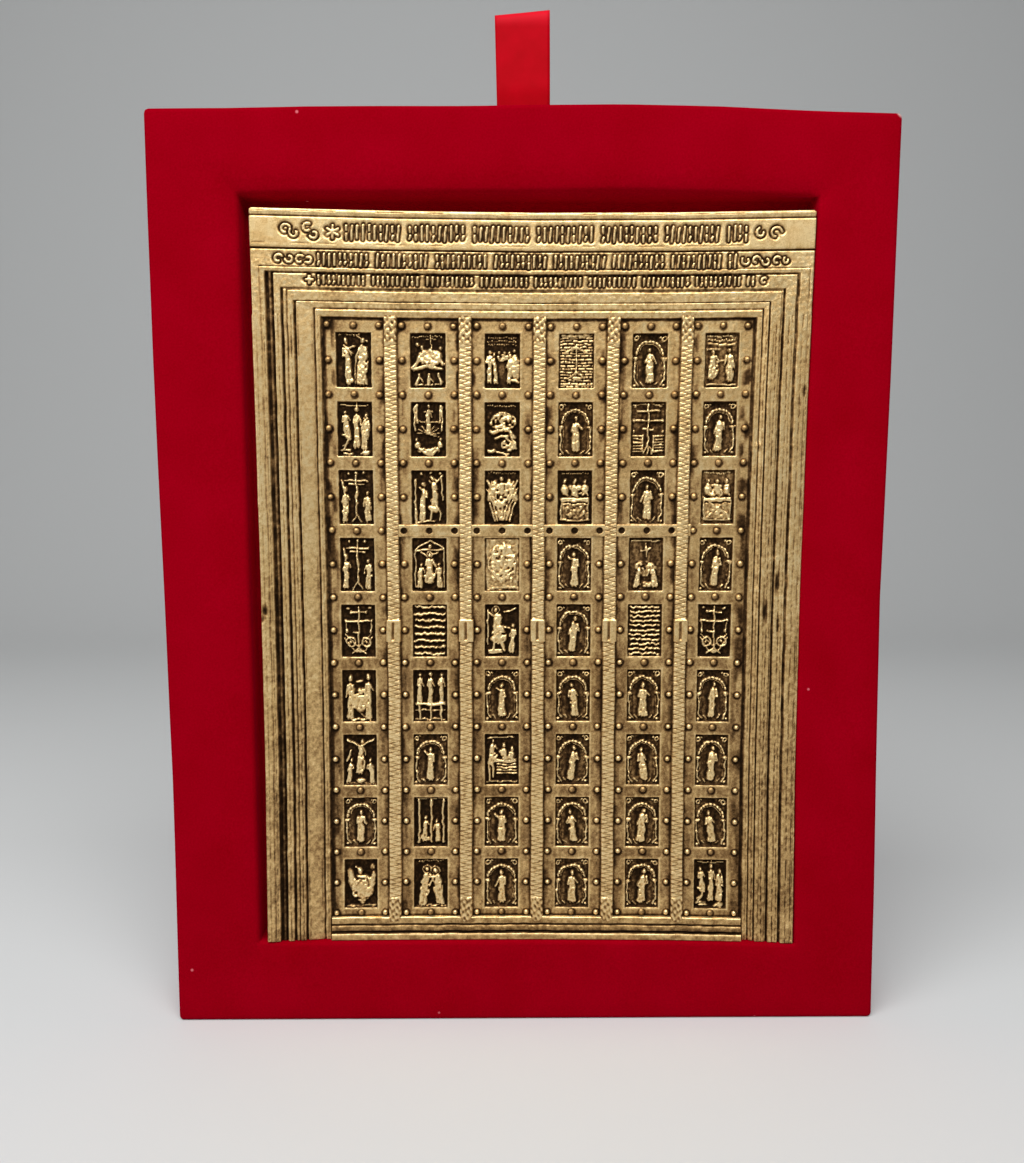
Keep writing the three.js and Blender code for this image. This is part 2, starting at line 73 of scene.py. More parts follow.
camera_data = bpy.data.cameras.new("camera")
camera_data.sensor_width = 36
camera_data.lens = 36 * FOCAL_PIXELS / PICTURE_HEIGHT
camera_data.clip_start = 0.01
camera = bpy.data.objects.new("camera", camera_data)
bpy.context.collection.objects.link(camera)
camera.matrix_world = (
    Matrix.Translation(EYE)
    @ Matrix.Rotation(-TURN_RIGHT, 4, "Z")
    @ Matrix.Rotation(math.pi / 2 - LOOK_DOWN, 4, "X")
    @ Matrix.Rotation(ROLL, 4, "Z")
)
bpy.context.scene.camera = camera
bpy.context.scene.view_settings.view_transform = "Standard"


def finished(name, work, material, slot=None, body="root"):
    """Turns the bmesh into a piece of that name with its material, riding on a body of the frame."""
    mesh = bpy.data.meshes.new(name)
    work.to_mesh(mesh)
    work.free()
    mesh.materials.append(material)
    piece = bpy.data.objects.new(name, mesh)
    bpy.context.collection.objects.link(piece)
    if slot:
        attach(piece, body)
    return piece


class Finish:
    """A material's nodes, added one after another and linked by socket names."""

    def __init__(self, name):
        self.material = bpy.data.materials.new(name)
        self.material.use_nodes = True
        self.nodes = self.material.node_tree.nodes
        self.shader = self.nodes["Principled BSDF"]
        self.place = self.add("ShaderNodeTexCoord").outputs["Object"]

    def add(self, kind, **settings):
        node = self.nodes.new(kind)
        for key, value in settings.items():
            setattr(node, key, value)
        return node

    def join(self, source, target):
        self.material.node_tree.links.new(source, target)
        return self

    def noise(self, size, detail=2.0, stretch=(1, 1, 1), roughness=0.5):
        """Noise with features of about that size in metres."""
        mapping = self.add("ShaderNodeMapping")
        mapping.inputs["Scale"].default_value = [factor / size for factor in stretch]
        self.join(self.place, mapping.inputs["Vector"])
        node = self.add("ShaderNodeTexNoise")
        node.inputs["Scale"].default_value = 1
        node.inputs["Detail"].default_value = detail
        node.inputs["Roughness"].default_value = roughness
        self.join(mapping.outputs["Vector"], node.inputs["Vector"])
        return node.outputs["Fac"]

    def ramp(self, factor, *stops):
        """A colour for each (position, colour) stop along the factor."""
        node = self.add("ShaderNodeValToRGB")
        elements = node.color_ramp.elements
        while len(elements) < len(stops):
            elements.new(0.5)
        for element, (position, colour) in zip(elements, stops):
            element.position = position
            element.color = (*colour, 1)
        self.join(factor, node.inputs["Fac"])
        return node.outputs["Color"]

    def spread(self, value, low, high, to_low, to_high):
        node = self.add("ShaderNodeMapRange")
        for key, number in zip(("From Min", "From Max", "To Min", "To Max"), (low, high, to_low, to_high)):
            node.inputs[key].default_value = number
        self.join(value, node.inputs["Value"])
        return node.outputs["Result"]

    def math(self, kind, first, second):
        """The two values combined by a maths operation; each is a socket or a number."""
        node = self.add("ShaderNodeMath", operation=kind)
        for socket, value in zip(node.inputs, (first, second)):
            if isinstance(value, (int, float)):
                socket.default_value = value
            else:
                self.join(value, socket)
        return node.outputs["Value"]

    def blend(self, factor, first, second, kind="MIX"):
        """Two colours mixed; each is a socket or a colour."""
        node = self.add("ShaderNodeMix", data_type="RGBA", blend_type=kind)
        for key, value in ((0, factor), (6, first), (7, second)):
            if isinstance(value, (int, float)):
                node.inputs[key].default_value = value
            elif isinstance(value, tuple):
                node.inputs[key].default_value = (*value, 1)
            else:
                self.join(value, node.inputs[key])
        return node.outputs[2]

    def bump(self, height, distance, strength=1.0, before=None):
        node = self.add("ShaderNodeBump")
        node.inputs["Strength"].default_value = strength
        node.inputs["Distance"].default_value = distance
        self.join(height, node.inputs["Height"])
        if before:
            self.join(before, node.inputs["Normal"])
        return node.outputs["Normal"]

    def set(self, **values):
        """Plain values on the shader; underscores stand for spaces."""
        for key, value in values.items():
            self.shader.inputs[key.replace("_", " ")].default_value = value
        return self


# Velvet board: a stiff board wrapped in crimson velvet. The velvet rounds its edges softly, hollows its
# sides and crowns its top edge a little. The casting is pressed into a recess in its front, which
# follows the casting closely on the right and below, and rolls in softly on the left and above.
board_low, board_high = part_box("velvet_board")
plaque_low, plaque_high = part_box("door_relief_plaque")
BOARD_HALF = 68.8
BOARD_HEIGHT = 173.6
EDGE_ROUND = 0.9
LIP_ROUND = 0.8
RECESS_DEPTH = 6.0
RECESS_LEFT = -52.3
RECESS_TOP = 158.4
# Pairs of a place along an edge and how far the edge lies up or to the right of a true one there
TOP_EDGE = [(-68.8, 0), (-54, 0.08), (-40, 0.4), (-10, 0.5), (18, 0.83), (36, 0.41), (55, -0.42),
    (68.8, -0.8)]
LEFT_EDGE = [(0, 0.3), (25, 0.45), (50, 0.6), (75, 0.35), (100, 0.08), (130, -0.25), (173.6, -0.25)]
RIGHT_EDGE = [(0, 0.2), (25, 0), (50, -0.45), (84, -0.9), (100, -0.65), (125, -0.33), (173.6, 0)]
# The casting's left and bottom, and how far its points lie to the right of and above their true
# places, on five by five points spread evenly over it; the first row is along the bottom edge
PLATE_LEFT = -50.5
PLATE_FOOT = 16.0
PLATE_WIDTH = 104.0
PLATE_HEIGHT = 140.0
CAST_RIGHT = np.array([
    [-0.1, -0.38, -0.09, 0.08, -0.58],
    [0.34, -0.01, 0.08, -0.04, -1.01],
    [0.38, 0.13, 0.21, 0.04, -0.99],
    [0.18, 0.16, 0.38, 0.33, -0.55],
    [-0.11, 0.16, 0.63, 0.83, 0.26],
])
CAST_UP = np.array([
    [0.15, 0.31, 0.31, 0.01, -0.6],
    [-0.55, -0.48, -0.46, -0.62, -1.08],
    [-0.44, -0.52, -0.52, -0.53, -0.65],
    [0.05, -0.29, -0.38, -0.3, -0.11],
    [0.4, -0.25, -0.59, -0.52, -0.09],
])


def along(pairs, place):
    """The value of a list of pairs at a place between them."""
    places, values = zip(*pairs)
    return np.interp(place, places, values)


def spread(table, x, y):
    """The value of a five by five table at points of the casting."""
    column = np.clip(x / PLATE_WIDTH, 0, 1) * 4
    row = np.clip(y / PLATE_HEIGHT, 0, 1) * 4
    left = np.minimum(column, 3).astype(int)
    low = np.minimum(row, 3).astype(int)
    s, t = column - left, row - low
    below = table[low, left] * (1 - s) + table[low, left + 1] * s
    above = table[low + 1, left] * (1 - s) + table[low + 1, left + 1] * s
    return below * (1 - t) + above * t


def cast_place(x, y):
    """Where points of the casting stand, to the right and up, in millimetres."""
    return PLATE_LEFT + x + spread(CAST_RIGHT, x, y), PLATE_FOOT + y + spread(CAST_UP, x, y)


def velvet_finish():
    finish = Finish("crimson velvet")
    nap = finish.noise(11 * MM, 3)
    pile = finish.noise(0.3 * MM, 3)
    colour = finish.ramp(nap, (0.3, (0.235, 0.0, 0.004)), (0.7, (0.28, 0.0, 0.007)))
    fine = finish.ramp(pile, (0.3, (0.18, 0.0, 0.002)), (0.75, (0.34, 0.0, 0.01)))
    colour = finish.blend(0.4, colour, fine)
    # A few specks of pale lint, and a bare pinched tip at the upper right corner
    cell = finish.add("ShaderNodeTexVoronoi")
    cell.inputs["Scale"].default_value = 1 / (8 * MM)
    finish.join(finish.place, cell.inputs["Vector"])
    speck = finish.spread(cell.outputs["Distance"], 0.02, 0.045, 1, 0)
    chosen = finish.add("ShaderNodeSeparateColor")
    finish.join(cell.outputs["Color"], chosen.inputs["Color"])
    speck = finish.math("MULTIPLY", speck, finish.spread(chosen.outputs["Red"], 0.6, 0.62, 0, 0.6))
    colour = finish.blend(speck, colour, (0.75, 0.2, 0.24))
    tip = finish.add("ShaderNodeVectorMath", operation="DISTANCE")
    tip.inputs[1].default_value = Vector((68.6, -9.6, 172.7)) * MM
    finish.join(finish.place, tip.inputs[0])
    bare = finish.spread(tip.outputs["Value"], 0.5 * MM, 1.0 * MM, 0.8, 0)
    colour = finish.blend(bare, colour, (0.62, 0.4, 0.38))
    finish.join(colour, finish.shader.inputs["Base Color"])
    finish.set(Roughness=1.0, Specular_IOR_Level=0.0)
    finish.set(Sheen_Weight=0.3, Sheen_Roughness=0.3, Sheen_Tint=(1.0, 0.0, 0.12, 1))
    finish.join(finish.bump(pile, 0.12 * MM, 0.4), finish.shader.inputs["Normal"])
    return finish.material


def velvet_board():
    work = bmesh.new()
    bmesh.ops.create_cube(work, size=1)
    size = Vector((2 * BOARD_HALF, (board_high.y - board_low.y) / MM, BOARD_HEIGHT))
    bmesh.ops.scale(work, vec=size, verts=work.verts)
    bmesh.ops.translate(work, vec=(0, 0, BOARD_HEIGHT / 2), verts=work.verts)
    front = min(work.faces, key=lambda face: face.calc_center_median().y)
    shell = list(work.edges)
    bmesh.ops.inset_individual(work, faces=[front], thickness=10, use_even_offset=True)
    for vert in front.verts:
        vert.co.x = RECESS_LEFT if vert.co.x < 0 else PLATE_LEFT + PLATE_WIDTH + 0.2
        vert.co.z = PLATE_FOOT - 0.15 if vert.co.z < BOARD_HEIGHT / 2 else RECESS_TOP
    mouth = list(front.edges)
    floor = bmesh.ops.extrude_discrete_faces(work, faces=[front])["faces"][0]
    bmesh.ops.translate(work, vec=(0, RECESS_DEPTH, 0), verts=floor.verts)
    settings = {"segments": 4, "profile": 0.5, "affect": "EDGES", "material": -1}
    bmesh.ops.bevel(work, geom=shell, offset=EDGE_ROUND, **settings)
    bmesh.ops.bevel(work, geom=[edge for edge in mouth if edge.is_valid], offset=LIP_ROUND, **settings)
    cuts_x = list(np.linspace(-64, 64, 33)) + [RECESS_LEFT - reach for reach in (1.5, 2.5, 3.5, 5)]
    cuts_z = list(np.linspace(4, 169, 42)) + [RECESS_TOP + reach for reach in (1.5, 2.5, 3.5, 5)]
    for axis, cuts in ((0, cuts_x), (2, cuts_z)):
        for cut in cuts:
            place, normal = Vector((0, 0, 0)), Vector((0, 0, 0))
            place[axis], normal[axis] = cut, 1
            whole = work.verts[:] + work.edges[:] + work.faces[:]
            bmesh.ops.bisect_plane(work, geom=whole, plane_co=place, plane_no=normal)
    for vert in work.verts:
        x, y, z = vert.co
        across = x / (2 * BOARD_HALF) + 0.5
        side = along(LEFT_EDGE, z) * (1 - across) + along(RIGHT_EDGE, z) * across
        follow = max(0.0, 1 - abs(x - 53.7) / 10) if 10 < z < 160 else 0
        below = max(0.0, 1 - abs(z - 15.8) / 8) if abs(x) < 58 else 0
        vert.co.x += side * abs(2 * across - 1) ** 4
        vert.co.x += follow * float(spread(CAST_RIGHT, PLATE_WIDTH, z - PLATE_FOOT))
        vert.co.z += z / BOARD_HEIGHT * along(TOP_EDGE, x) * (z > RECESS_TOP)
        vert.co.z += below * float(spread(CAST_UP, x - PLATE_LEFT, 0))
        # The soft roll into the recess on the left and above, and a slight unevenness of the velvet
        if y < -8.5:
            gap = max(RECESS_LEFT - x, z - RECESS_TOP, 0) if x < 56 and z > 12 else 9
            roll = max(0.0, 1 - gap / 5) ** 2 if gap > 0 or x < RECESS_LEFT + 1 or z > RECESS_TOP - 1 else 0
            vert.co.y += 0.75 * roll
            vert.co.y += 0.1 * math.sin(x * 0.21 + 1) * math.sin(z * 0.13) + 0.1
    bmesh.ops.scale(work, vec=Vector((MM, MM, MM)), verts=work.verts)
    for face in work.faces:
        face.smooth = True
    piece = finished("board_velvet", work, velvet_finish(), "velvet")
    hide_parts("velvet_board")
    return piece


velvet_board()

# Casting: one brass plate with the whole relief on it. Its heights are worked out in millimetres, x from
# the left edge, y up from the bottom edge, over a grid of points that is fine where the relief is fine.
FRONT_LEVEL = 5.35
FIELD_LEVEL = 3.7
FLOOR_LEVEL = 2.95


def brass_finish():
    finish = Finish("antique brass")
    # The patina attribute holds the casting's patina with painted shade and painted highlights laid into it
    patina_and_shade = finish.add("ShaderNodeAttribute", attribute_name="patina_and_shade").outputs["Fac"]
    grit = finish.noise(0.22 * MM, 2, roughness=0.6)
    pitted = finish.noise(0.55 * MM, 4, roughness=0.7)
    cloud = finish.noise(16 * MM, 3)
    patina_grit_and_shade = finish.math("ADD", patina_and_shade, finish.spread(pitted, 0.3, 0.7, -0.13, 0.13))
    patina_grit_and_shade = finish.math("ADD", patina_grit_and_shade, finish.spread(grit, 0.3, 0.7, -0.07, 0.07))
    metal = finish.ramp(
        patina_grit_and_shade,
        (0.0, (0.93, 0.71, 0.37)),
        (0.2, (0.68, 0.46, 0.2)),
        (0.45, (0.3, 0.175, 0.07)),
        (0.7, (0.075, 0.038, 0.014)),
        (1.0, (0.016, 0.008, 0.003)),
    )
    tint = finish.ramp(cloud, (0.3, (0.93, 0.9, 0.84)), (0.7, (1.0, 1.0, 1.0)))
    metal = finish.blend(1.0, metal, tint, "MULTIPLY")
    finish.join(metal, finish.shader.inputs["Base Color"])
    finish.join(finish.spread(patina_grit_and_shade, 0.0, 0.9, 0.38, 0.7), finish.shader.inputs["Roughness"])
    finish.set(Metallic=0.95)
    coarse = finish.bump(pitted, 0.06 * MM, 0.5)
    finish.join(finish.bump(grit, 0.04 * MM, 0.5, coarse), finish.shader.inputs["Normal"])
    return finish.material


brass = brass_finish()


def smooth(value, low, high):
    """0 below low, 1 above high, an even curve between."""
    t = np.clip((value - low) / (high - low), 0, 1)
    return t * t * (3 - 2 * t)


def grain(x, y, size, seed):
    """Smooth random values from 0 to 1 with features of that size."""
    lattice = np.random.RandomState(seed).rand(64, 64)
    u, v = x / size + 7.3, y / size + 3.1
    column, row = np.floor(u).astype(int), np.floor(v).astype(int)
    s, t = u - column, v - row
    s, t = s * s * (3 - 2 * s), t * t * (3 - 2 * t)
    corner = lambda a, b: lattice[(row + b) % 64, (column + a) % 64]
    low = corner(0, 0) * (1 - s) + corner(1, 0) * s
    high = corner(0, 1) * (1 - s) + corner(1, 1) * s
    return low * (1 - t) + high * t


def blurred(field, reach):
    """The field with every point averaged over its neighbours, bell-shaped, reach points wide."""
    offsets = np.arange(-3 * reach, 3 * reach + 1)
    bell = np.exp(-0.5 * (offsets / reach) ** 2)
    bell /= bell.sum()
    pad = len(offsets) // 2
    wide = np.pad(field, pad, mode="edge")
    wide = np.apply_along_axis(lambda line: np.convolve(line, bell, "valid"), 0, wide)
    return np.apply_along_axis(lambda line: np.convolve(line, bell, "valid"), 1, wide)


def stations(*stretches):
    """Grid lines through (start, end, spacing) stretches that follow each other."""
    lines = [np.array([stretches[0][0]])]
    for start, end, spacing in stretches:
        count = max(1, round((end - start) / spacing))
        lines.append(np.linspace(start, end, count + 1)[1:])
    return np.concatenate(lines)


def cast_block(name, xs, ys, heights, patina_and_shade, base=0.0):
    """A block of the casting: a grid raised to its heights, with walls down to its base."""
    work = bmesh.new()
    bmesh.ops.create_grid(work, x_segments=len(xs) - 1, y_segments=len(ys) - 1, size=0.5)
    sheet = bpy.data.meshes.new("sheet")
    work.to_mesh(sheet)
    work.free()
    place = np.empty(len(sheet.vertices) * 3)
    sheet.vertices.foreach_get("co", place)
    place = place.reshape(-1, 3)
    column = np.rint((place[:, 0] + 0.5) * (len(xs) - 1)).astype(int)
    row = np.rint((place[:, 1] + 0.5) * (len(ys) - 1)).astype(int)
    right, up = cast_place(xs[column], ys[row])
    place[:, 0] = right * MM
    place[:, 1] = plaque_high.y - heights[row, column] * MM
    place[:, 2] = up * MM
    sheet.vertices.foreach_set("co", place.ravel())
    tone = sheet.attributes.new("patina_and_shade", "FLOAT", "POINT")
    tone.data.foreach_set("value", np.clip(patina_and_shade[row, column], 0, 1))
    work = bmesh.new()
    work.from_mesh(sheet)
    bpy.data.meshes.remove(sheet)
    for face in work.faces:
        face.smooth = True
    rim = [edge for edge in work.edges if edge.is_boundary]
    for edge in rim:
        edge.smooth = False
    walls = bmesh.ops.extrude_edge_only(work, edges=rim)["geom"]
    for part in walls:
        if isinstance(part, bmesh.types.BMVert):
            part.co.y = plaque_high.y - base * MM
        if isinstance(part, bmesh.types.BMFace):
            part.smooth = False
    foot = [edge for edge in work.edges if edge.is_boundary]
    bmesh.ops.contextual_create(work, geom=foot)
    return finished(name, work, brass, "antique_brass")


# Surround: mouldings that step down from the plate's front to the door, mitred at the corners. Each row
# is one line of the moulding: its distance from the left, top and right edge, its level, and how dark
# the patina lies in it.
MOULDING = [
    (0.0, 7.4, 0.0, 5.1, 0.15),
    (0.12, 7.5, 0.12, 5.35, 0.0),
    (1.55, 10.4, 0.72, 5.35, 0.05),
    (1.7, 10.5, 0.8, 5.15, 0.7),
    (1.85, 10.6, 0.9, 5.35, 0.1),
    (2.6, 11.2, 2.6, 5.3, 0.05),
    (2.75, 11.3, 2.72, 4.6, 0.9),
    (3.05, 11.34, 2.8, 4.5, 0.9),
    (3.3, 11.38, 2.86, 4.75, 0.5),
    (3.6, 11.42, 2.9, 4.75, 0.5),
    (3.8, 11.46, 2.94, 4.35, 0.95),
    (4.0, 11.5, 3.0, 4.35, 0.95),
    (4.15, 11.62, 3.15, 5.05, 0.0),
    (5.3, 14.1, 5.1, 5.0, 0.05),
    (5.45, 14.22, 5.25, 4.45, 0.95),
    (5.65, 14.3, 5.45, 4.35, 0.9),
    (5.85, 14.38, 5.6, 4.75, 0.1),
    (6.3, 14.46, 5.72, 4.75, 0.1),
    (6.42, 14.5, 5.78, 4.4, 0.85),
    (6.62, 14.56, 5.88, 4.8, 0.1),
    (7.6, 16.3, 7.75, 4.75, 0.05),
    (7.72, 16.4, 7.85, 4.15, 0.95),
    (7.95, 16.5, 7.96, 4.1, 0.9),
    (8.1, 16.62, 8.08, 4.6, 0.05),
    (11.15, 17.6, 8.95, 4.2, 0.1),
    (11.28, 17.7, 9.05, 3.85, 0.85),
    (11.4, 17.76, 9.12, 3.85, 0.85),
    (11.55, 17.9, 9.25, 4.3, 0.0),
    (12.4, 19.1, 10.15, 4.2, 0.1),
    (12.55, 19.2, 10.3, FIELD_LEVEL, 0.85),
    (12.7, 19.25, 10.45, FIELD_LEVEL, 0.8),
]
# Grainy lines down both jambs: the distance from the jamb's outer edge and the depth
LEFT_LINES = [(0.8, 0.05), (2.25, 0.06), (4.75, 0.07), (7.15, 0.08), (8.4, 0.07), (10.95, 0.05),
    (12.0, 0.05)]
RIGHT_LINES = [(0.5, 0.07), (1.7, 0.08), (3.6, 0.07), (4.25, 0.09), (6.5, 0.09), (7.1, 0.06), (8.45, 0.07),
    (9.6, 0.05)]
# Marks of casting and wear: middle, reach across and up, rise, and darkness
MARKS = [
    (0.6, 66.2, 0.45, 0.9, -0.6, 1.0), (0.2, 64.5, 0.3, 0.4, -0.4, 0.7), (11.4, 17.6, 1.0, 0.35, 0.35, -0.2),
    (12.2, 18.6, 0.5, 0.5, 0.4, -0.3), (103.2, 107.0, 0.5, 0.7, -0.1, 0.6), (102.4, 104.9, 0.3, 0.4, 0, 0.6),
    (99.4, 71.5, 0.4, 1.6, -0.35, 0.9), (97.2, 66.0, 0.35, 1.8, -0.35, 0.9),
    (98.6, 76.0, 1.4, 0.3, 0.25, -0.3),
    (96.4, 73.6, 1.0, 0.25, 0.2, -0.3), (100.4, 68.6, 1.3, 0.3, 0.2, -0.3),
    (95.6, 70.0, 0.8, 0.3, 0.25, -0.2),
    (97.0, 79.0, 0.3, 1.2, 0.2, -0.2), (99.8, 63.5, 0.3, 1.5, -0.3, 0.8), (95.0, 97.0, 0.6, 0.4, 0.3, 0.3),
]


def surround(x, y):
    """Height and patina of the mouldings, with painted shade deepening towards the bottom."""
    left, top, right, level, dark = (np.array(column) for column in zip(*MOULDING))
    order = np.arange(len(MOULDING), dtype=float)
    wander = 0.1 * (grain(x, y, 3.0, 2) - 0.5)
    station = np.minimum(
        np.minimum(np.interp(x + wander, left, order), np.interp(PLATE_HEIGHT - y, top, order)),
        np.interp(PLATE_WIDTH - x + wander, right, order),
    )
    height = np.interp(station, order, level)
    height = height + 0.05 * (grain(x, y, 2.2, 3) - 0.5) + 0.05 * (grain(x, y, 0.4, 4) - 0.5)
    broken = 0.55 + 0.9 * grain(x, y, 0.8, 5) * grain(x, y, 3.5, 6) ** 0.5
    patina_and_shade = 0.1 + np.interp(station, order, dark) * np.clip(broken, 0, 1.05)
    jamb = PLATE_HEIGHT - y > 19
    for lines, outer, sign in ((LEFT_LINES, 0.0, 1), (RIGHT_LINES, PLATE_WIDTH, -1)):
        for at, depth in lines:
            reach = (x - outer) * sign - at + 0.06 * np.sin(y * 0.3 + at * 5)
            line = np.exp(-((reach / 0.11) ** 2)) * smooth(grain(x * 3, y, 0.55, int(at * 10)), 0.22,
                0.6) * jamb
            height = height - depth * line
            patina_and_shade = patina_and_shade + 6 * depth * line
    for at_x, at_y, reach_x, reach_y, rise, shade in MARKS:
        spot = np.exp(-(((x - at_x) / reach_x) ** 2) - ((y - at_y) / reach_y) ** 2)
        height = height + rise * spot
        patina_and_shade = patina_and_shade + shade * spot
    patina_and_shade = patina_and_shade + 0.3 * (grain(x, y, 0.45, 11) - 0.5) + 0.16 * (grain(x, y, 4.0, 12) - 0.5)
    # The lower jambs are darker, partly patina and partly painted shade where less light falls
    patina_and_shade = patina_and_shade + 0.14 * smooth(-y, -85, -5)
    return height, patina_and_shade


# Head of the surround: a rounded cornice, then the slab and the two bands with rows of raised strokes.
CORNICE = 1.36
SLAB_FOOT = 7.2
# Each row of strokes: its middle below the top edge, its height, its start and end, and their spacing
STROKE_ROWS = [
    (4.2, 2.75, 17.6, 90.9, 1.06),
    (9.15, 2.25, 12.5, 89.2, 0.98),
    (12.72, 1.55, 12.5, 93.1, 0.9),
]


def segment(x, y, x0, y0, x1, y1):
    """Distance to a segment, and how far along it the nearest point lies, from 0 to 1."""
    dx, dy = x1 - x0, y1 - y0
    length = max(dx * dx + dy * dy, 1e-9)
    t = np.clip(((x - x0) * dx + (y - y0) * dy) / length, 0, 1)
    return np.hypot(x - x0 - t * dx, y - y0 - t * dy), t


def stroke_rows(x, y):
    """Distance in millimetres from each point to the nearest raised stroke, less where it is broad."""
    nearest = np.full(x.shape, 9.0)
    chance = np.random.RandomState(21)
    for middle, height, start, end, spacing in STROKE_ROWS:
        centre = PLATE_HEIGHT - middle
        near = np.abs(y - centre) < height
        count = int((end - start) / spacing)
        for at in range(count + 1):
            if at % 11 == 10:
                continue
            lean = chance.uniform(0.01, 0.05) * height
            top = height * chance.uniform(0.38, 0.5)
            foot = -height * chance.uniform(0.38, 0.5)
            short = chance.randint(5)
            middle_x = start + at * spacing + chance.uniform(-0.08, 0.08)
            marks = [(middle_x - lean, foot, middle_x + lean, top)]
            if short == 0:
                marks = [(middle_x, foot, middle_x, foot * 0.25), (middle_x, top * 0.35, middle_x, top)]
            if short == 1:
                marks = [(middle_x - 0.1, foot * 0.9, middle_x + 0.1, foot * 0.4),
                    (middle_x, top * 0.2, middle_x, top)]
            box = near & (np.abs(x - middle_x) < 1.4)
            for x0, y0, x1, y1 in marks:
                distance, along = segment(x[box], y[box], x0, centre + y0, x1, centre + y1)
                nearest[box] = np.minimum(nearest[box], distance - 0.05 * along + 0.04)
    return nearest


def flourishes(x, y):
    """Leaf scrolls and a star at the ends of the rows, as distances too."""
    nearest = np.full(x.shape, 9.0)

    def curl(cx, cy, radius, turn, sweep=4.4):
        angle = np.linspace(0, sweep, 12)
        reach = radius * (1 - 0.11 * angle)
        px = cx + reach * np.cos(angle + turn)
        py = cy + reach * np.sin(angle + turn)
        for a, b, c, d in zip(px, py, px[1:], py[1:]):
            box = (np.abs(x - cx) < 2.2) & (np.abs(y - cy) < 2.2)
            nearest[box] = np.minimum(nearest[box], segment(x[box], y[box], a, b, c, d)[0])

    first, second, third = (PLATE_HEIGHT - row[0] for row in STROKE_ROWS)
    for cx, cy, radius, turn in (
        (6.6, first + 0.3, 1.0, 0.4), (8.2, first - 0.3, 0.9, 2.4), (10.6, first + 0.6, 0.9, 1.0),
        (11.8, first - 0.5, 0.8, 3.6), (93.6, first + 0.1, 0.9, 2.0), (96.4, first, 1.2, 0.2),
        (5.2, second, 0.85, 0.6), (7.2, second + 0.1, 0.8, 3.4), (9.1, second - 0.1, 0.85, 0.8),
        (10.7, second, 0.7, 4.0), (91.0, second, 0.85, 2.6), (92.9, second + 0.1, 0.8, 0.2),
        (94.8, second - 0.1, 0.8, 3.0), (96.8, second, 0.8, 0.6), (98.6, second, 0.6, 2.2),
        (94.6, third, 0.6, 0.9),
    ):
        curl(cx, cy, radius, turn)
    for angle in np.linspace(0, math.pi, 4)[:-1]:
        dx, dy = 1.15 * math.cos(angle + 0.5), 1.15 * math.sin(angle + 0.5)
        nearest = np.minimum(nearest, segment(x, y, 15.2 - dx, first - dy, 15.2 + dx, first + dy)[0])
    for dx, dy in ((0.65, 0), (0, 0.65)):
        nearest = np.minimum(nearest, segment(x, y, 10.7 - dx, third - dy, 10.7 + dx, third + dy)[0])
    return nearest


def surround_head(x, y):
    height, patina_and_shade = surround(x, y)
    down = PLATE_HEIGHT - y
    roll = FRONT_LEVEL - 0.1 - 0.5 * ((down - CORNICE / 2) / (CORNICE / 2)) ** 4
    slab = np.where(down < SLAB_FOOT, FRONT_LEVEL, height)
    slab = np.where(down < CORNICE, np.minimum(roll, FRONT_LEVEL), slab)
    patina_and_shade = np.where(down < SLAB_FOOT, 0.1 + 0.2 * (grain(x, y, 1.1, 17) - 0.5), patina_and_shade)
    for at, width, depth in ((CORNICE + 0.1, 0.13, 0.5), (SLAB_FOOT + 0.05, 0.13, 0.55),
        (0.55, 0.07, 0.06), (6.35, 0.08, 0.05)):
        broken = 1 if depth > 0.2 else smooth(grain(x, y * 0, 2.5, 9), 0.35, 0.6)
        line = np.exp(-(((down - at) / width) ** 2)) * broken
        slab = slab - depth * line
        patina_and_shade = patina_and_shade + (1.0 if depth > 0.2 else 0.5) * line
    nearest = np.minimum(stroke_rows(x, y), flourishes(x, y))
    near = smooth(-nearest, -0.75, -0.3)
    raised = smooth(-nearest, -0.28, -0.12)
    slab = slab - 0.3 * near + 0.38 * raised
    patina_and_shade = patina_and_shade + 0.95 * near * (0.6 + 0.6 * grain(x, y, 0.6, 33)) - 1.3 * raised
    return np.minimum(slab, 5.4), patina_and_shade


# The plate's top corners are rounded; its left and right walls carry the wear of handling
def pulled_corner(x, y):
    """How far a point lies outside the rounded top corners, to be laid down at the rim."""
    radius = 0.8
    dx = np.maximum(radius - np.minimum(x, PLATE_WIDTH - x), 0)
    dy = np.maximum(radius - (PLATE_HEIGHT - y), 0)
    return np.hypot(dx, dy) - radius


DOOR_LEFT = 12.7
DOOR_RIGHT = PLATE_WIDTH - 10.45
DOOR_TOP = PLATE_HEIGHT - 19.25
DOOR_FOOT = PLATE_HEIGHT - 135.5

jamb_left_lines = stations((0, 2.4, 0.2), (2.4, 8.3, 0.13), (8.3, 11.1, 0.25), (11.1, DOOR_LEFT, 0.13))
jamb_right_lines = PLATE_WIDTH - stations((0, 2.6, 0.15), (2.6, 10.45, 0.13))[::-1]
head_xs = np.concatenate([jamb_left_lines, stations((DOOR_LEFT, DOOR_RIGHT, 0.19))[1:-1], jamb_right_lines])
head_ys = stations((DOOR_TOP, PLATE_HEIGHT, 0.175))
x, y = np.meshgrid(head_xs, head_ys)
heights, patina_and_shade = surround_head(x, y)
heights = heights - 1.5 * smooth(pulled_corner(x, y), -0.1, 0.15)
casting = cast_block("casting_head", head_xs, head_ys, heights, patina_and_shade)
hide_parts("door_relief_plaque")

jamb_ys = stations((0, DOOR_TOP, 0.47))
for name, lines in (("casting_jamb_left", jamb_left_lines), ("casting_jamb_right", jamb_right_lines)):
    x, y = np.meshgrid(lines, jamb_ys)
    heights, patina_and_shade = surround(x, y)
    cast_block(name, lines, jamb_ys, heights, patina_and_shade)

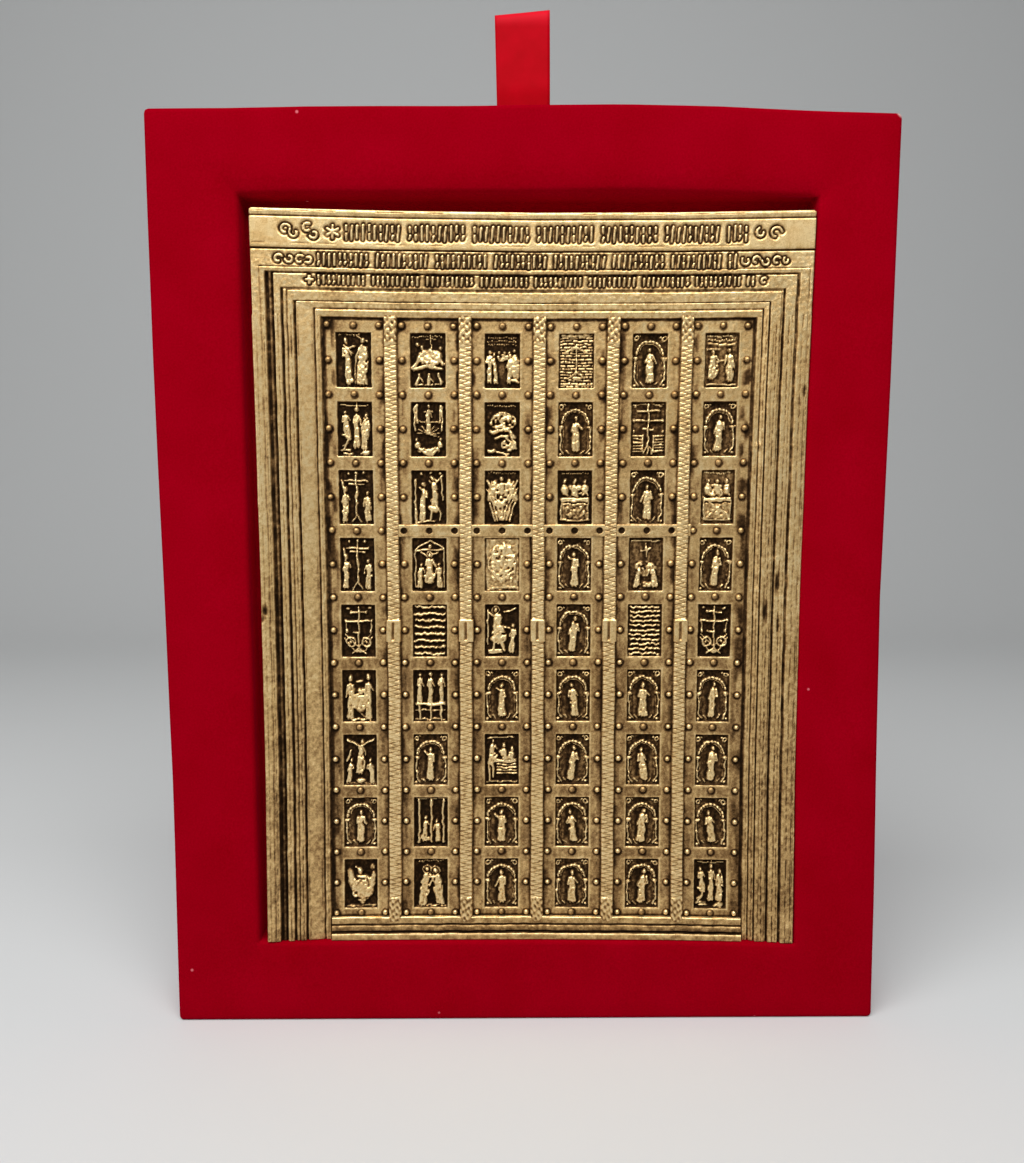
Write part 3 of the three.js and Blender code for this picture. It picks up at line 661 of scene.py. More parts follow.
# Threshold under the door: three steps that come forward, worn bright along their upper edges.
threshold_xs = stations((DOOR_LEFT, DOOR_RIGHT, 0.4))
threshold_ys = stations((0, DOOR_FOOT, 0.11))
x, y = np.meshgrid(threshold_xs, threshold_ys)
down = PLATE_HEIGHT - y + 0.12 * (grain(x, y * 0, 1.5, 41) - 0.5)
heights = np.interp(
    down,
    (135.5, 135.65, 136.95, 137.05, 137.15, 137.3, 138.35, 138.5, 138.7, 138.85, 140),
    (3.75, 4.35, 4.3, 3.95, 3.95, 4.6, 4.55, 4.15, 4.2, 4.95, 4.9),
)
dark = np.interp(down, (136.9, 137.05, 137.15, 137.3, 138.2, 138.5, 138.7, 138.85),
    (0, 0.9, 0.9, 0, 0.2, 1, 0.9, 0))
patina_and_shade = 0.3 + dark - 0.3 * np.interp(down, (135.5, 135.6, 135.9, 138.8, 138.9, 139.3), (1, 1, 0, 0, 1, 0))
patina_and_shade = patina_and_shade + 0.3 * (grain(x, y, 0.7, 42) - 0.5)
cast_block("casting_threshold", threshold_xs, threshold_ys, heights, patina_and_shade)

# Door: six columns of nine framed panels, each a small sunk picture in relief. The frames lie level,
# rubbed bright in their middles, with dark patina left along the straps and round the studs, where a
# painted shadow also falls down and to the right of each stud.
COLUMNS = 6
ROWS = 9
FIRST_COLUMN = 18.4
COLUMN_PITCH = 13.8
FIRST_ROW = PLATE_HEIGHT - 26.95
ROW_PITCH = 12.68
PANEL_PITCH = 12.725
PANEL_HALF_WIDTH = 3.25
PANEL_HALF_HEIGHT = 5.04
STUD_OFFSET = 4.8
STRAP_HALF = 1.22
BAR_ROW = 6


class Picture:
    """A panel's relief over its floor, built up from domes, ridges and rings."""

    def __init__(self, x, y, seed):
        self.x, self.y = x, y
        self.height = np.zeros(x.shape)
        self.chance = np.random.RandomState(seed)
        self.ground = 0.92

    def raise_to(self, shape):
        self.height = np.maximum(self.height, shape)
        return self

    def dome(self, cx, cy, rx, ry, rise, turn=0.0):
        dx, dy = self.x - cx, self.y - cy
        a = dx * math.cos(turn) + dy * math.sin(turn)
        b = -dx * math.sin(turn) + dy * math.cos(turn)
        return self.raise_to(rise * np.clip(1 - (a / rx) ** 2 - (b / ry) ** 2, 0, 1) ** 0.5)

    def ridge(self, x0, y0, x1, y1, half, rise, taper=1.0):
        distance, along = segment(self.x, self.y, x0, y0, x1, y1)
        width = half * (1 + (taper - 1) * along)
        return self.raise_to(rise * np.clip(1 - (distance / width) ** 2, 0, 1) ** 0.5)

    def ridges(self, half, rise, *lines):
        for line in lines:
            self.ridge(*line, half, rise)
        return self

    def domes(self, rx, ry, rise, *places):
        for place in places:
            self.dome(*place, rx, ry, rise)
        return self

    def ring(self, cx, cy, radius, half, rise, low=-math.pi, high=math.pi):
        dx, dy = self.x - cx, self.y - cy
        angle = np.arctan2(dy, dx)
        shape = rise * np.clip(1 - ((np.hypot(dx, dy) - radius) / half) ** 2, 0, 1) ** 0.5
        return self.raise_to(np.where((angle >= low) & (angle <= high), shape, 0))

    def slab(self, cx, cy, half_width, half_height, rise):
        inside = np.minimum(half_width - np.abs(self.x - cx), half_height - np.abs(self.y - cy))
        return self.raise_to(rise * smooth(inside, -0.08, 0.12))

    def rubble(self, cx, cy, rx, ry, rise, size=0.42):
        """Uneven lumps within an oval, for crowds, rocks and heaped cloth."""
        inside = smooth(1 - ((self.x - cx) / rx) ** 2 - ((self.y - cy) / ry) ** 2, 0.0, 0.3)
        lumps = grain(self.x, self.y, size, self.chance.randint(999))
        return self.raise_to(rise * inside * smooth(lumps, 0.1, 0.75))

    def dashes(self, y, low=-2.8, high=2.8, rise=0.4):
        """A row of tiny uneven dashes along the top of a picture."""
        for at in np.arange(low, high, 0.42):
            lift = self.chance.uniform(-0.08, 0.08)
            self.ridge(at, y + lift, at + 0.14, y + lift + self.chance.uniform(-0.15, 0.15), 0.12, rise)
        return self

    def robed(self, x, foot, tall, wide, lean=0.0, halo=False, gesture=0):
        """A standing robed figure with folds, arms and a plain round head."""
        sway = lean * tall
        neck_x, waist_x = x + 0.45 * sway, x + 0.05 * sway
        neck_y, waist_y = foot + 0.83 * tall, foot + 0.5 * tall
        for at in (-1.0, -0.35, 0.35, 1.0):
            reach = at * wide * 0.3 + self.chance.uniform(-0.08, 0.08)
            hem = foot + 0.03 * tall * abs(at)
            self.ridge(waist_x + reach * 0.6, waist_y + 0.08 * tall, x - 0.4 * sway + reach, hem,
                wide * 0.16, 0.62, 1.1)
        self.dome((neck_x + waist_x) / 2, foot + 0.66 * tall, wide * 0.36, tall * 0.2, 0.72)
        side = 1 if gesture % 2 else -1
        shoulder = foot + 0.77 * tall
        elbow = foot + 0.58 * tall
        hand = foot + tall * (0.5, 0.62, 0.86, 0.55)[gesture % 4]
        self.ridge(neck_x + side * wide * 0.28, shoulder, neck_x + side * wide * 0.62, hand, wide * 0.13,
            0.7, 0.8)
        self.ridge(neck_x - side * wide * 0.3, shoulder, neck_x - side * wide * 0.42, elbow, wide * 0.13,
            0.7)
        self.ridge(neck_x - side * wide * 0.42, elbow, neck_x + side * wide * 0.1, foot + 0.62 * tall,
            0.16, 0.78)
        head_x, head_y, size = x + 0.52 * sway, foot + tall * 0.93, tall * 0.06
        if halo:
            self.dome(head_x, head_y, size * 1.9, size * 1.9, 0.3)
            self.ring(head_x, head_y, size * 1.8, 0.12, 0.45)
        self.dome(head_x, head_y, size, size * 1.2, 0.85)
        foot_x = x - 0.4 * sway
        return self.domes(0.22, 0.26, 0.5, (foot_x - 0.24, foot - 0.1), (foot_x + 0.26, foot - 0.1))


def arch(picture, lean=0.0, gesture=None, tall=6.4, halo=False):
    """A robed figure in a niche under a round arch on two slim columns."""
    chance = picture.chance
    picture.ground = 0.62
    spring, radius = 0.95, 2.62
    for step in range(11):
        angle = math.pi * (step + 0.5) / 11
        place = radius * math.cos(angle), spring + radius * math.sin(angle)
        picture.dome(*place, 0.46, 0.27, chance.uniform(0.5, 0.64), angle + math.pi / 2)
    picture.ring(0, spring, 2.2, 0.1, 0.36, 0.2, math.pi - 0.2)
    for side in (-1, 1):
        picture.ring(side * 2.65, 4.15, 0.36, 0.15, 0.5).dome(side * 2.0, 4.5, 0.3, 0.18, 0.45, side * 0.7)
        picture.dome(side * 2.66, 0.42, 0.55, 0.3, 0.66).slab(side * 2.75, 0.12, 0.35, 0.14, 0.5)
        picture.ridge(side * 2.8, 0.0, side * 2.8, -3.6, 0.16, 0.52)
        picture.ridge(side * 2.36, -0.1, side * 2.36, -3.4, 0.07, 0.22)
        picture.dome(side * 2.76, chance.uniform(-2.6, -1.0), 0.28, 0.34, 0.62)
        picture.ridge(side * 2.8, -3.5, side * 2.1, -4.45, 0.17, 0.52)
        picture.dome(side * 2.75, -4.5, 0.36, 0.24, 0.5)
        picture.ridge(side * 1.1, -4.5, side * 1.7, -3.9, 0.12, 0.34)
    gesture = chance.randint(4) if gesture is None else gesture
    foot = -4.0
    dark = np.exp(-((picture.x / 1.5) ** 2) - ((picture.y - 2.4) / 1.2) ** 2)
    beside = np.exp(-(((np.abs(picture.x) - 1.1) / 0.35) ** 2)) * smooth(picture.y, -3.9,
        -3.0) * (picture.y < 2)
    picture.ground = picture.ground + 0.3 * dark + 0.18 * beside + 0.2 * (np.abs(picture.y - 4.6) < 0.6)
    picture.robed(chance.uniform(-0.12, 0.12), foot, tall, chance.uniform(1.6, 2.0), lean, halo, gesture)
    picture.rubble(0, foot + 0.42 * tall, 0.7, 0.3 * tall, 0.72, 0.36)


def pair(picture):
    picture.dashes(4.6, -2.9, 1.2).robed(-1.25, -4.3, 8.4, 1.7, -0.06, False, 1)
    picture.ridges(0.2, 0.72, (-2.0, 1.9, 0.1, 2.6), (-1.9, 2.7, -0.2, 1.2), (-1.5, -1.0, -0.8, -3.9))
    picture.robed(1.5, -4.4, 8.7, 2.0, 0.02, False, 0).rubble(1.65, -0.6, 1.1, 3.8, 0.7, 0.34)
    picture.ridges(0.14, 0.45, (0.2, -4.2, 0.3, 0.5), (0.6, 4.4, 2.7, 3.4))


def meeting(picture):
    picture.robed(-1.2, -4.5, 7.9, 1.9, 0.12, True, 1).robed(1.4, -4.4, 7.4, 1.9, -0.14, True, 0)
    picture.rubble(-1.3, -1.4, 1.0, 3.0, 0.66).rubble(1.5, -1.4, 1.0, 3.0, 0.66).dashes(4.5, -2.4, 2.4)
    picture.ridges(0.2, 0.7, (-0.4, 1.1, 0.9, 1.3)).ridges(0.16, 0.4, (-2.9, -4.8, 2.9, -4.8))


def swelling(picture):
    """A great swelling mound like spread wings under a thin ray, with small figures below."""
    picture.dashes(4.5, -2.9, 2.9, 0.45).ridges(0.08, 0.5, (0.6, 4.6, 0.6, 2.0), (-0.2, 4.0, 1.4, 4.0))
    picture.dome(0.1, 0.6, 2.3, 1.5, 0.6, 0.1).dome(1.5, 0.9, 1.4, 1.1, 0.72, -0.5)
    picture.dome(-0.8, 1.2, 1.3, 0.9, 0.7, 0.6)
    picture.ridges(0.36, 0.76, (-0.9, 1.6, -2.8, -1.3), (1.5, 1.4, 2.9, -0.6), (-2.5, -1.5, -0.2, -1.0))
    picture.ridges(0.34, 0.72, (0.1, -1.1, 2.5, -1.5), (-1.6, 0.1, 1.6, -0.2))
    picture.domes(0.36, 0.42, 0.8, (-1.9, 2.9), (-1.2, 2.3), (0.3, 1.9), (2.3, 2.4))
    picture.rubble(0.3, 0.4, 2.4, 1.6, 0.8)
    for x, lean in ((-1.8, 0.5), (0.1, 0.1), (1.9, -0.5)):
        picture.dome(x, -2.5, 0.26, 0.28, 0.65).ridge(x, -2.8, x - lean, -4.3, 0.26, 0.62, 1.3)
        picture.ridges(0.15, 0.55, (x - 0.7, -4.4, x + 0.6, -4.3), (x + 0.1, -3.1, x + 0.7, -3.8))


def crowds(picture):
    """Two close groups with a dark gap between them under rows of small marks."""
    for y in (4.4, 3.7, 3.0):
        picture.dashes(y, -2.7, 2.6, 0.34)
    picture.robed(-2.4, -3.9, 6.0, 1.1, 0.0, False, 1).robed(-1.4, -4.0, 5.4, 1.0, -0.08, False, 0)
    picture.domes(0.28, 0.32, 0.75, (-2.5, 1.7), (-1.6, 1.4), (-0.7, 1.5), (0.3, 1.6), (1.2, 1.5),
        (2.1, 1.9))
    picture.rubble(0.1, 0.7, 1.2, 0.8, 0.6, 0.35).robed(1.3, -4.0, 5.4, 1.0, 0.06, False, 0)
    picture.dome(2.2, -1.3, 1.1, 2.6, 0.72, 0.2).dome(2.4, 0.2, 0.7, 1.2, 0.78)
    picture.ridge(1.9, -3.6, 2.9, -3.9, 0.36, 0.6)
    picture.ground = 0.9 - 0.25 * np.exp(-((picture.x - 0.1) ** 2 + (picture.y + 1.5) ** 2 / 3))


def courses(picture):
    """A slim cross with an arc standing against courses of small stones."""
    picture.ground = 0.8
    course = np.abs(np.sin(picture.y * 5.6))
    shift = np.floor(picture.y * 5.6 / math.pi) * 1.3
    joint = smooth(np.abs(np.sin(picture.x * 2.1 + shift)), 0.08, 0.25)
    picture.raise_to(0.4 * smooth(course, 0.3, 0.8) * joint * smooth(-np.abs(picture.x), -3.1, -2.95))
    picture.ridges(0.16, 0.72, (0, 2.7, 0, -2.2), (0, -2.0, -1.5, -3.2), (0, -2.0, 1.5, -3.2),
        (-0.9, 2.6, 0.9, 2.6))
    picture.ring(0, 0.4, 2.0, 0.15, 0.65, 0.6, 2.54).domes(0.42, 0.24, 0.6, (-1.8, 1.6), (1.8, 1.6))
    picture.dome(0, -3.2, 1.2, 0.36, 0.6).ridges(0.14, 0.5, (-2.6, 4.6, 2.6, 4.6), (-2.9, -4.4, 2.9, -4.4))


def facing(picture):
    picture.ground = 0.55
    for y in (4.4, 3.7):
        picture.dashes(y, -2.7, 2.6, 0.5)
    picture.slab(0, 3.0, 2.7, 0.2, 0.3).robed(-1.7, -3.4, 5.2, 1.5, 0.06, False, 1)
    picture.robed(1.6, -3.7, 6.0, 1.6, -0.04, False, 0)
    picture.ridges(0.17, 0.55, (-1.0, -0.4, 0.9, 0.2), (-2.8, -4.5, 2.8, -4.5), (-2.7, 1.9, -0.4, 2.1))
    picture.rubble(-1.5, -1.6, 1.1, 1.9, 0.6).rubble(1.7, -1.4, 1.0, 2.2, 0.62)


def trio(picture):
    """A slender pale figure between a kneeling one and a close group, over a rocky foot."""
    picture.ridges(0.1, 0.5, (-2.6, 4.4, 2.6, 4.4), (0.3, 4.9, 0.3, 4.0))
    picture.robed(0.25, -3.4, 7.6, 1.3, 0.02, False, 3)
    picture.robed(-1.7, -1.6, 5.0, 1.3, -0.08, False, 1)
    picture.ridges(0.24, 0.66, (-2.4, -1.0, -1.0, -1.8), (-1.2, -1.5, -2.3, -3.9))
    picture.ridges(0.2, 0.55, (-2.7, -4.1, -0.9, -3.9), (-2.5, -3.2, -1.4, -2.4), (-2.2, -4.6, -0.6, -4.5))
    picture.robed(1.9, -3.6, 6.6, 1.5, 0.05, False, 0).rubble(2.0, -0.2, 0.9, 3.2, 0.72, 0.4)
    picture.dome(2.0, -4.4, 0.9, 0.6, 0.6, 0.5).ridges(0.2, 0.6, (1.0, -4.7, 2.0, -3.9))


def burst(picture):
    """Thin rays from a low middle, hangings at both sides and a half ring of figures below."""
    for step in range(9):
        angle = math.pi * (step - 0.6) / 7.6
        picture.ridge(0, -0.9, 2.1 * math.cos(angle), -0.9 + 1.9 * math.sin(angle), 0.12, 0.62, 0.6)
    picture.robed(0, -0.6, 5.2, 1.0, 0.0, False, 3)
    picture.ridges(0.12, 0.55, (-0.9, 3.2, 0.9, 3.2), (-2.2, 1.5, 2.2, 1.3))
    for side in (-1, 1):
        picture.ridges(0.22, 0.62, (side * 2.3, 4.2, side * 2.0, 1.2), (side * 2.6, 4.2, side * 2.5, -0.2))
        picture.dome(side * 2.3, 4.4, 0.34, 0.34, 0.6).dome(side * 2.1, -2.9, 0.6, 0.8, 0.7, side * 0.5)
        picture.dome(side * 2.3, -1.9, 0.32, 0.34, 0.75)
    picture.ring(0, -2.6, 1.9, 0.34, 0.64, -2.7, -0.45)
    picture.domes(0.3, 0.3, 0.78, (-1.0, -3.6), (0.1, -3.9), (1.1, -3.6))
    picture.rubble(0, -4.1, 2.3, 0.7, 0.6)


def gathering(picture):
    """A close crowd under an arc, over a reclining figure on rocky ground."""
    picture.ring(0.2, 0.9, 2.3, 0.2, 0.6, 0.1, 3.0).dashes(4.5, -2.7, 2.6, 0.4)
    picture.rubble(0.2, 1.2, 2.5, 1.9, 0.75, 0.5)
    for x, y in ((-1.5, 2.3), (-0.5, 3.0), (0.6, 3.1), (1.6, 2.4), (-2.1, 1.1), (2.3, 1.2), (0.0, 1.9),
        (1.0, 1.7)):
        picture.dome(x, y, 0.34, 0.4, 0.85)
    picture.ridges(0.34, 0.74, (-1.9, -0.6, 1.2, 0.2), (1.0, 0.1, 2.4, -1.5))
    picture.dome(-2.1, -0.4, 0.42, 0.4, 0.8)
    picture.ridges(0.26, 0.62, (-1.4, -1.5, 1.0, -1.2), (0.6, -1.4, 2.3, -2.9), (1.6, -1.0, 2.6, -3.6))
    picture.rubble(1.2, -2.9, 1.7, 1.3, 0.55).dome(-1.9, -4.0, 1.0, 0.5, 0.6)
    picture.ridge(-1.0, -4.3, 1.2, -4.6, 0.24, 0.5)


def two_armed(picture):
    """A cross with two arms, with ladders of short bars at both sides of its foot."""
    picture.ground = 0.66
    picture.ridges(0.18, 0.72, (0, 4.6, 0, -4.4), (-2.0, 3.4, 2.0, 3.4), (-2.7, 1.6, 2.7, 1.6))
    picture.ridge(-0.9, 0, 0.9, 0, 0.15, 0.5)
    for side in (-1, 1):
        for at in range(6):
            picture.ridge(side * 1.0, -1.3 - at * 0.56, side * 2.8, -1.3 - at * 0.56, 0.15, 0.5)
        picture.ridges(0.16, 0.6, (side * 0.2, -3.2, side * 0.9, -4.5), (side * 1.0, -1.2, side * 1.0, -4.2))
        picture.dome(side * 2.4, 4.3, 0.4, 0.2, 0.4).dome(side * 2.7, -0.4, 0.24, 0.34, 0.5)
        picture.dome(side * 2.7, 1.6, 0.3, 0.4, 0.7)
    picture.ridges(0.1, 0.3, (-2.9, 4.6, 2.9, 4.6))


def cross_group(picture):
    """A thin tall cross with spread foot and figures at both sides, under small stars."""
    picture.domes(0.34, 0.3, 0.7, (-1.5, 4.5), (0, 4.6), (1.4, 4.5))
    picture.ridges(0.17, 0.7, (0, 4.2, 0, -3.4), (-2.1, 3.1, 2.2, 3.1))
    picture.ridges(0.15, 0.6, (-1.5, 2.4, 1.5, 2.4), (0, -3.2, -0.9, -4.7), (0, -3.2, 0.9, -4.7))
    picture.domes(0.3, 0.4, 0.75, (0, 1.6), (0, -1.0)).dome(0, 0.5, 0.34, 1.1, 0.72)
    picture.robed(-2.2, -4.5, 6.4, 1.3, 0.03, False, 1).robed(2.1, -4.5, 5.6, 1.3, -0.03, False, 0)
    picture.ridge(-2.8, 3.0, -2.3, 0.8, 0.24, 0.55).rubble(-2.2, -1.4, 0.7, 2.8, 0.68)
    picture.rubble(2.2, -2.2, 0.7, 2.2, 0.68)


def striding(picture):
    """Two figures with raised arms, one stooping over a rounded bundle, beside a hanging."""
    picture.domes(0.3, 0.28, 0.6, (-1.6, 4.5), (0.4, 4.6), (2.0, 4.4))
    picture.ridges(0.26, 0.6, (-2.6, 3.4, -2.5, -4.3))
    picture.robed(-1.2, -4.3, 7.2, 1.3, 0.06, False, 2).robed(1.0, -1.4, 5.3, 1.4, -0.05, False, 2)
    picture.ridges(0.2, 0.7, (0.4, 3.9, 1.6, 3.2), (1.4, 3.0, 2.5, 4.0), (2.4, 3.7, 2.6, -0.6))
    picture.dome(0.8, -2.2, 1.1, 0.8, 0.74, -0.4)
    picture.ridges(0.24, 0.68, (1.4, -1.6, 2.3, -3.0), (0.4, -2.6, 0.2, -4.4))
    picture.ridges(0.2, 0.6, (2.2, -2.8, 1.9, -4.3), (-2.6, -4.6, 0.9, -4.6))
    picture.rubble(1.0, -0.2, 0.8, 1.6, 0.7)


def boat(picture):
    """Two great wing-like leaves over a bowl whose folds spread like a fan."""
    picture.dashes(4.6, -2.6, 2.5, 0.35)
    for side in (-1, 1):
        picture.dome(side * 1.9, 1.2, 0.95, 2.4, 0.66, side * 0.35)
        picture.ridge(side * 2.7, 3.2, side * 1.3, -0.9, 0.22, 0.8)
        picture.ridges(0.13, 0.78, (side * 2.1, 3.0, side * 0.9, -0.6), (side * 2.9, 1.6, side * 1.7, -1.2))
        for at in range(3):
            picture.ridge(side * (0.3 + at * 0.5), -4.3, side * (0.8 + at * 0.8), -1.6 + 0.3 * at, 0.22, 0.7)
    picture.dome(0, 1.6, 0.6, 1.5, 0.72).dome(0, 3.4, 0.4, 0.45, 0.8).dome(0, -2.9, 2.5, 1.5, 0.5)
    picture.ridge(0, -4.4, 0, -1.0, 0.24, 0.72)
    picture.rubble(0, 0.4, 2.6, 2.6, 0.7, 0.45)


def supper(picture, slope=0.0):
    """Busts behind a laid table like a long box."""
    picture.dashes(4.5, -2.6, 2.5, 0.4)
    for x in (-1.9, 0.0, 1.9):
        picture.dome(x, 1.4, 0.8, 1.2, 0.68).dome(x, 3.0, 0.38, 0.45, 0.8)
        picture.ridge(x, 1.5, x + 0.6, 0.3, 0.18, 0.74)
    picture.rubble(0, 1.2, 2.7, 1.3, 0.72).slab(0, -0.5, 2.8, 0.42, 0.66).slab(0, -2.6, 2.5, 1.5, 0.34)
    picture.domes(0.3, 0.2, 0.76, (-1.5, -0.4), (0.1, -0.3), (1.6, -0.4))
    picture.rubble(0, -2.6, 2.4, 1.4, 0.48, 0.5)
    picture.ridge(-2.3, -1.3 + slope, 2.3, -1.3 - 2.4 * abs(slope), 0.18, 0.62)
    picture.ridges(0.18, 0.5, (-2.8, -4.3, 2.8, -4.3), (-2.6, -0.6, -2.6, -4.3), (2.6, -0.6, 2.6, -4.3))


def slanted_table(picture):
    supper(picture, 0.9)
    picture.ground = 0.5
    picture.ridges(0.14, 0.55, (-2.2, -3.9, 0.4, -1.8), (2.4, -3.9, 0.4, -1.8))


def canopy(picture):
    picture.ridges(0.17, 0.6, (0, 4.6, -2.7, 3.0), (0, 4.6, 2.7, 3.0), (-2.8, 2.8, 2.8, 2.8),
        (-2.7, 2.6, -2.7, -4.4))
    picture.ridges(0.16, 0.5, (2.7, 2.6, 2.7, -4.4), (-1.6, 2.4, -0.4, 1.6), (1.6, 2.4, 0.4, 1.6))
    picture.dome(0, 3.5, 0.5, 0.5, 0.6)
    picture.robed(0, -3.4, 5.6, 1.9, 0.0, True, 3).robed(-1.8, -4.5, 4.8, 1.2, 0.05, False, 1)
    picture.robed(1.8, -4.5, 4.8, 1.2, -0.05, False, 0).rubble(0, -1.8, 1.3, 1.6, 0.72)


def blossom(picture):
    """A swelling oval mass of small rounded scales that fills its panel."""
    picture.ground = 0.35
    picture.slab(0, 0, 3.1, 4.9, 0.32).ring(0, 0.2, 2.6, 0.22, 0.6).rubble(0, 0, 2.9, 4.6, 0.78, 0.7)
    picture.rubble(0, 0.1, 2.4, 3.8, 0.82, 0.42).dome(0.1, 0.2, 0.9, 1.2, 0.8)
    picture.ridges(0.2, 0.5, (-2.4, -4.5, 2.4, -4.5))


def faint(picture):
    picture.ground = 0.62
    picture.ridges(0.13, 0.42, (0, 3.9, 0.2, 1.4), (-0.9, 2.4, 1.0, 3.1), (-2.6, 4.4, 2.6, 4.4))
    picture.dome(0, 2.9, 0.4, 0.5, 0.5)
    picture.robed(-1.4, -4.2, 4.4, 1.3, 0.22, False, 1).robed(1.5, -4.2, 4.1, 1.3, -0.2, False, 0)
    picture.rubble(0.2, -3.9, 1.5, 0.6, 0.5)
    picture.rubble(0, -0.9, 2.4, 1.6, 0.4, 0.5)


def leaf_cross(picture):
    """A cross with two arms on a stepped foot, between two curling leaves."""
    picture.ridges(0.19, 0.74, (0, 4.6, 0, -3.4), (-1.5, 3.6, 1.5, 3.6), (-2.6, 1.9, 2.6, 1.9),
        (0.0, -0.4, -1.2, -0.2))
    for side in (-1, 1):
        picture.ring(side * 1.5, -2.2, 0.85, 0.19, 0.66).dome(side * 1.6, -2.2, 0.3, 0.3, 0.6)
        picture.ridge(side * 0.2, -3.0, side * 2.6, -0.7, 0.17, 0.6, 0.5)
        picture.dome(side * 2.4, -0.1, 0.3, 0.5, 0.6)
        picture.ridge(0, -3.4, side * 1.3, -4.5, 0.18, 0.6).dome(side * 2.1, 4.3, 0.5, 0.24, 0.45)
        picture.dome(side * 2.6, 1.9, 0.26, 0.42, 0.76).dome(side * 1.5, 3.6, 0.22, 0.36, 0.74)
        picture.ridges(0.14, 0.5, (side * 2.7, -1.4, side * 1.0, -3.9), (side * 2.5, 0.4, side * 2.5, 1.5))
    picture.dome(0, -4.1, 0.9, 0.5, 0.6)


def bars(picture, count=8, thick=0.26, ground=0.85):
    """Rows of raised bars with uneven edges."""
    picture.ground = ground
    pitch = 9.0 / (count - 1)
    for at in range(count):
        y = 4.5 - at * pitch
        waver = 0.08 * np.sin(picture.x * 6 + at * 2) + 0.22 * (grain(picture.x, picture.y * 0, 0.6,
            60 + at) - 0.5)
        shape = np.clip(1 - ((picture.y - y - waver) / thick) ** 2, 0, 1) ** 0.5
        picture.raise_to(0.7 * shape * smooth(-np.abs(picture.x), -3.05, -2.85))


def wavy_bars(picture):
    bars(picture, 11, 0.22, 0.7)


def seated(picture):
    picture.robed(-0.9, -2.4, 6.8, 2.2, -0.06, True, 2).dome(-0.7, -1.5, 1.7, 1.1, 0.74, 0.2)
    picture.ridges(0.32, 0.62, (-0.2, -1.7, 0.5, -4.0), (-1.4, -1.6, -1.5, -4.0))
    picture.slab(-1.3, -4.2, 1.4, 0.4, 0.5)
    picture.robed(2.0, -4.2, 5.6, 1.2, 0.05, False, 0).rubble(-0.7, -0.8, 1.6, 2.2, 0.76, 0.45)
    picture.ridges(0.17, 0.6, (0.2, 0.8, 1.5, 0.5), (-2.7, 3.9, -2.7, -2.8), (0.4, 3.4, 2.6, 4.2))


def joined_pair(picture):
    picture.robed(-1.8, -4.5, 8.5, 1.6, 0.02, False, 0).robed(1.8, -4.5, 8.7, 1.6, -0.02, False, 1)
    picture.slab(0, -0.9, 1.8, 0.9, 0.68).dome(0, -2.0, 1.3, 1.5, 0.62)
    picture.ridge(-0.9, -2.6, 0.9, -4.2, 0.16, 0.4)
    picture.rubble(0, -0.6, 2.4, 2.4, 0.74, 0.45)
    picture.ridges(0.2, 0.5, (-2.2, -4.7, 2.2, -4.7), (-0.6, 2.8, 0.6, 2.9))


def railed_trio(picture):
    for x in (-2.1, 0.0, 2.1):
        picture.robed(x, -1.6, 6.1, 1.2, 0.0, False, 3).ridge(x, -2.2, x, -4.6, 0.28, 0.6)
    picture.ridges(0.34, 0.72, (-2.8, -1.7, 2.8, -1.7))
    picture.ridges(0.14, 0.5, (-2.8, -2.9, 2.8, -2.9), (-2.8, -4.7, 2.8, -4.7))


def leaning_group(picture):
    """A figure with spread arms over three small ones."""
    picture.ridges(0.2, 0.66, (-2.6, 4.0, 0, 2.6), (2.6, 4.0, 0, 2.6), (-1.8, 1.9, -2.6, -0.2))
    picture.robed(0, -2.8, 6.9, 1.3, 0.08, False, 3).rubble(0.1, -0.6, 0.9, 2.2, 0.72)
    for x, lean in ((-2.1, 0.12), (2.1, -0.12)):
        picture.robed(x, -4.5, 4.7, 1.2, lean, False, int(x > 0))
    picture.dome(0, -4.2, 1.1, 0.6, 0.6).ridge(-2.9, -4.8, 2.9, -4.8, 0.14, 0.35)


def column_table(picture):
    """Small figures behind and beside a table of courses on two posts."""
    picture.robed(-2.0, -1.0, 4.9, 1.3, 0.1, False, 1).dome(0.3, 2.7, 0.36, 0.42, 0.75)
    picture.dome(0.3, 1.3, 0.8, 1.0, 0.66, 0.4)
    picture.dome(2.0, 2.0, 0.36, 0.42, 0.75).dome(1.9, 0.9, 0.7, 0.8, 0.66).slab(0.6, -0.3, 2.3, 0.4, 0.66)
    picture.rubble(0.2, 0.6, 2.7, 1.2, 0.7)
    picture.ridges(0.24, 0.62, (-2.4, -1.0, -2.3, -4.4), (-1.7, -0.6, -1.6, -3.6))
    for at in range(4):
        picture.ridge(-0.9, -1.1 - at * 0.6, 2.8, -1.1 - at * 0.6, 0.2, 0.58)
    picture.ridges(0.16, 0.45, (-2.8, -4.6, 2.8, -4.6), (-2.6, 4.3, 2.4, 4.4))


def slim_columns(picture):
    for x in (-2.3, 0.1, 2.4):
        picture.ridge(x, 4.4, x, -4.2, 0.26, 0.66).dome(x, 4.2, 0.42, 0.3, 0.66)
        picture.dome(x, -4.2, 0.42, 0.3, 0.6)
    picture.ridges(0.12, 0.45, (-2.8, 4.7, 2.8, 4.7)).robed(-1.1, -4.0, 5.2, 1.1, 0.04, False, 1)
    picture.domes(0.4, 0.6, 0.6, (-1.7, -3.2), (1.3, -3.4), (-0.5, -3.6))
    picture.robed(1.3, -4.1, 4.6, 1.1, -0.05, False, 0)


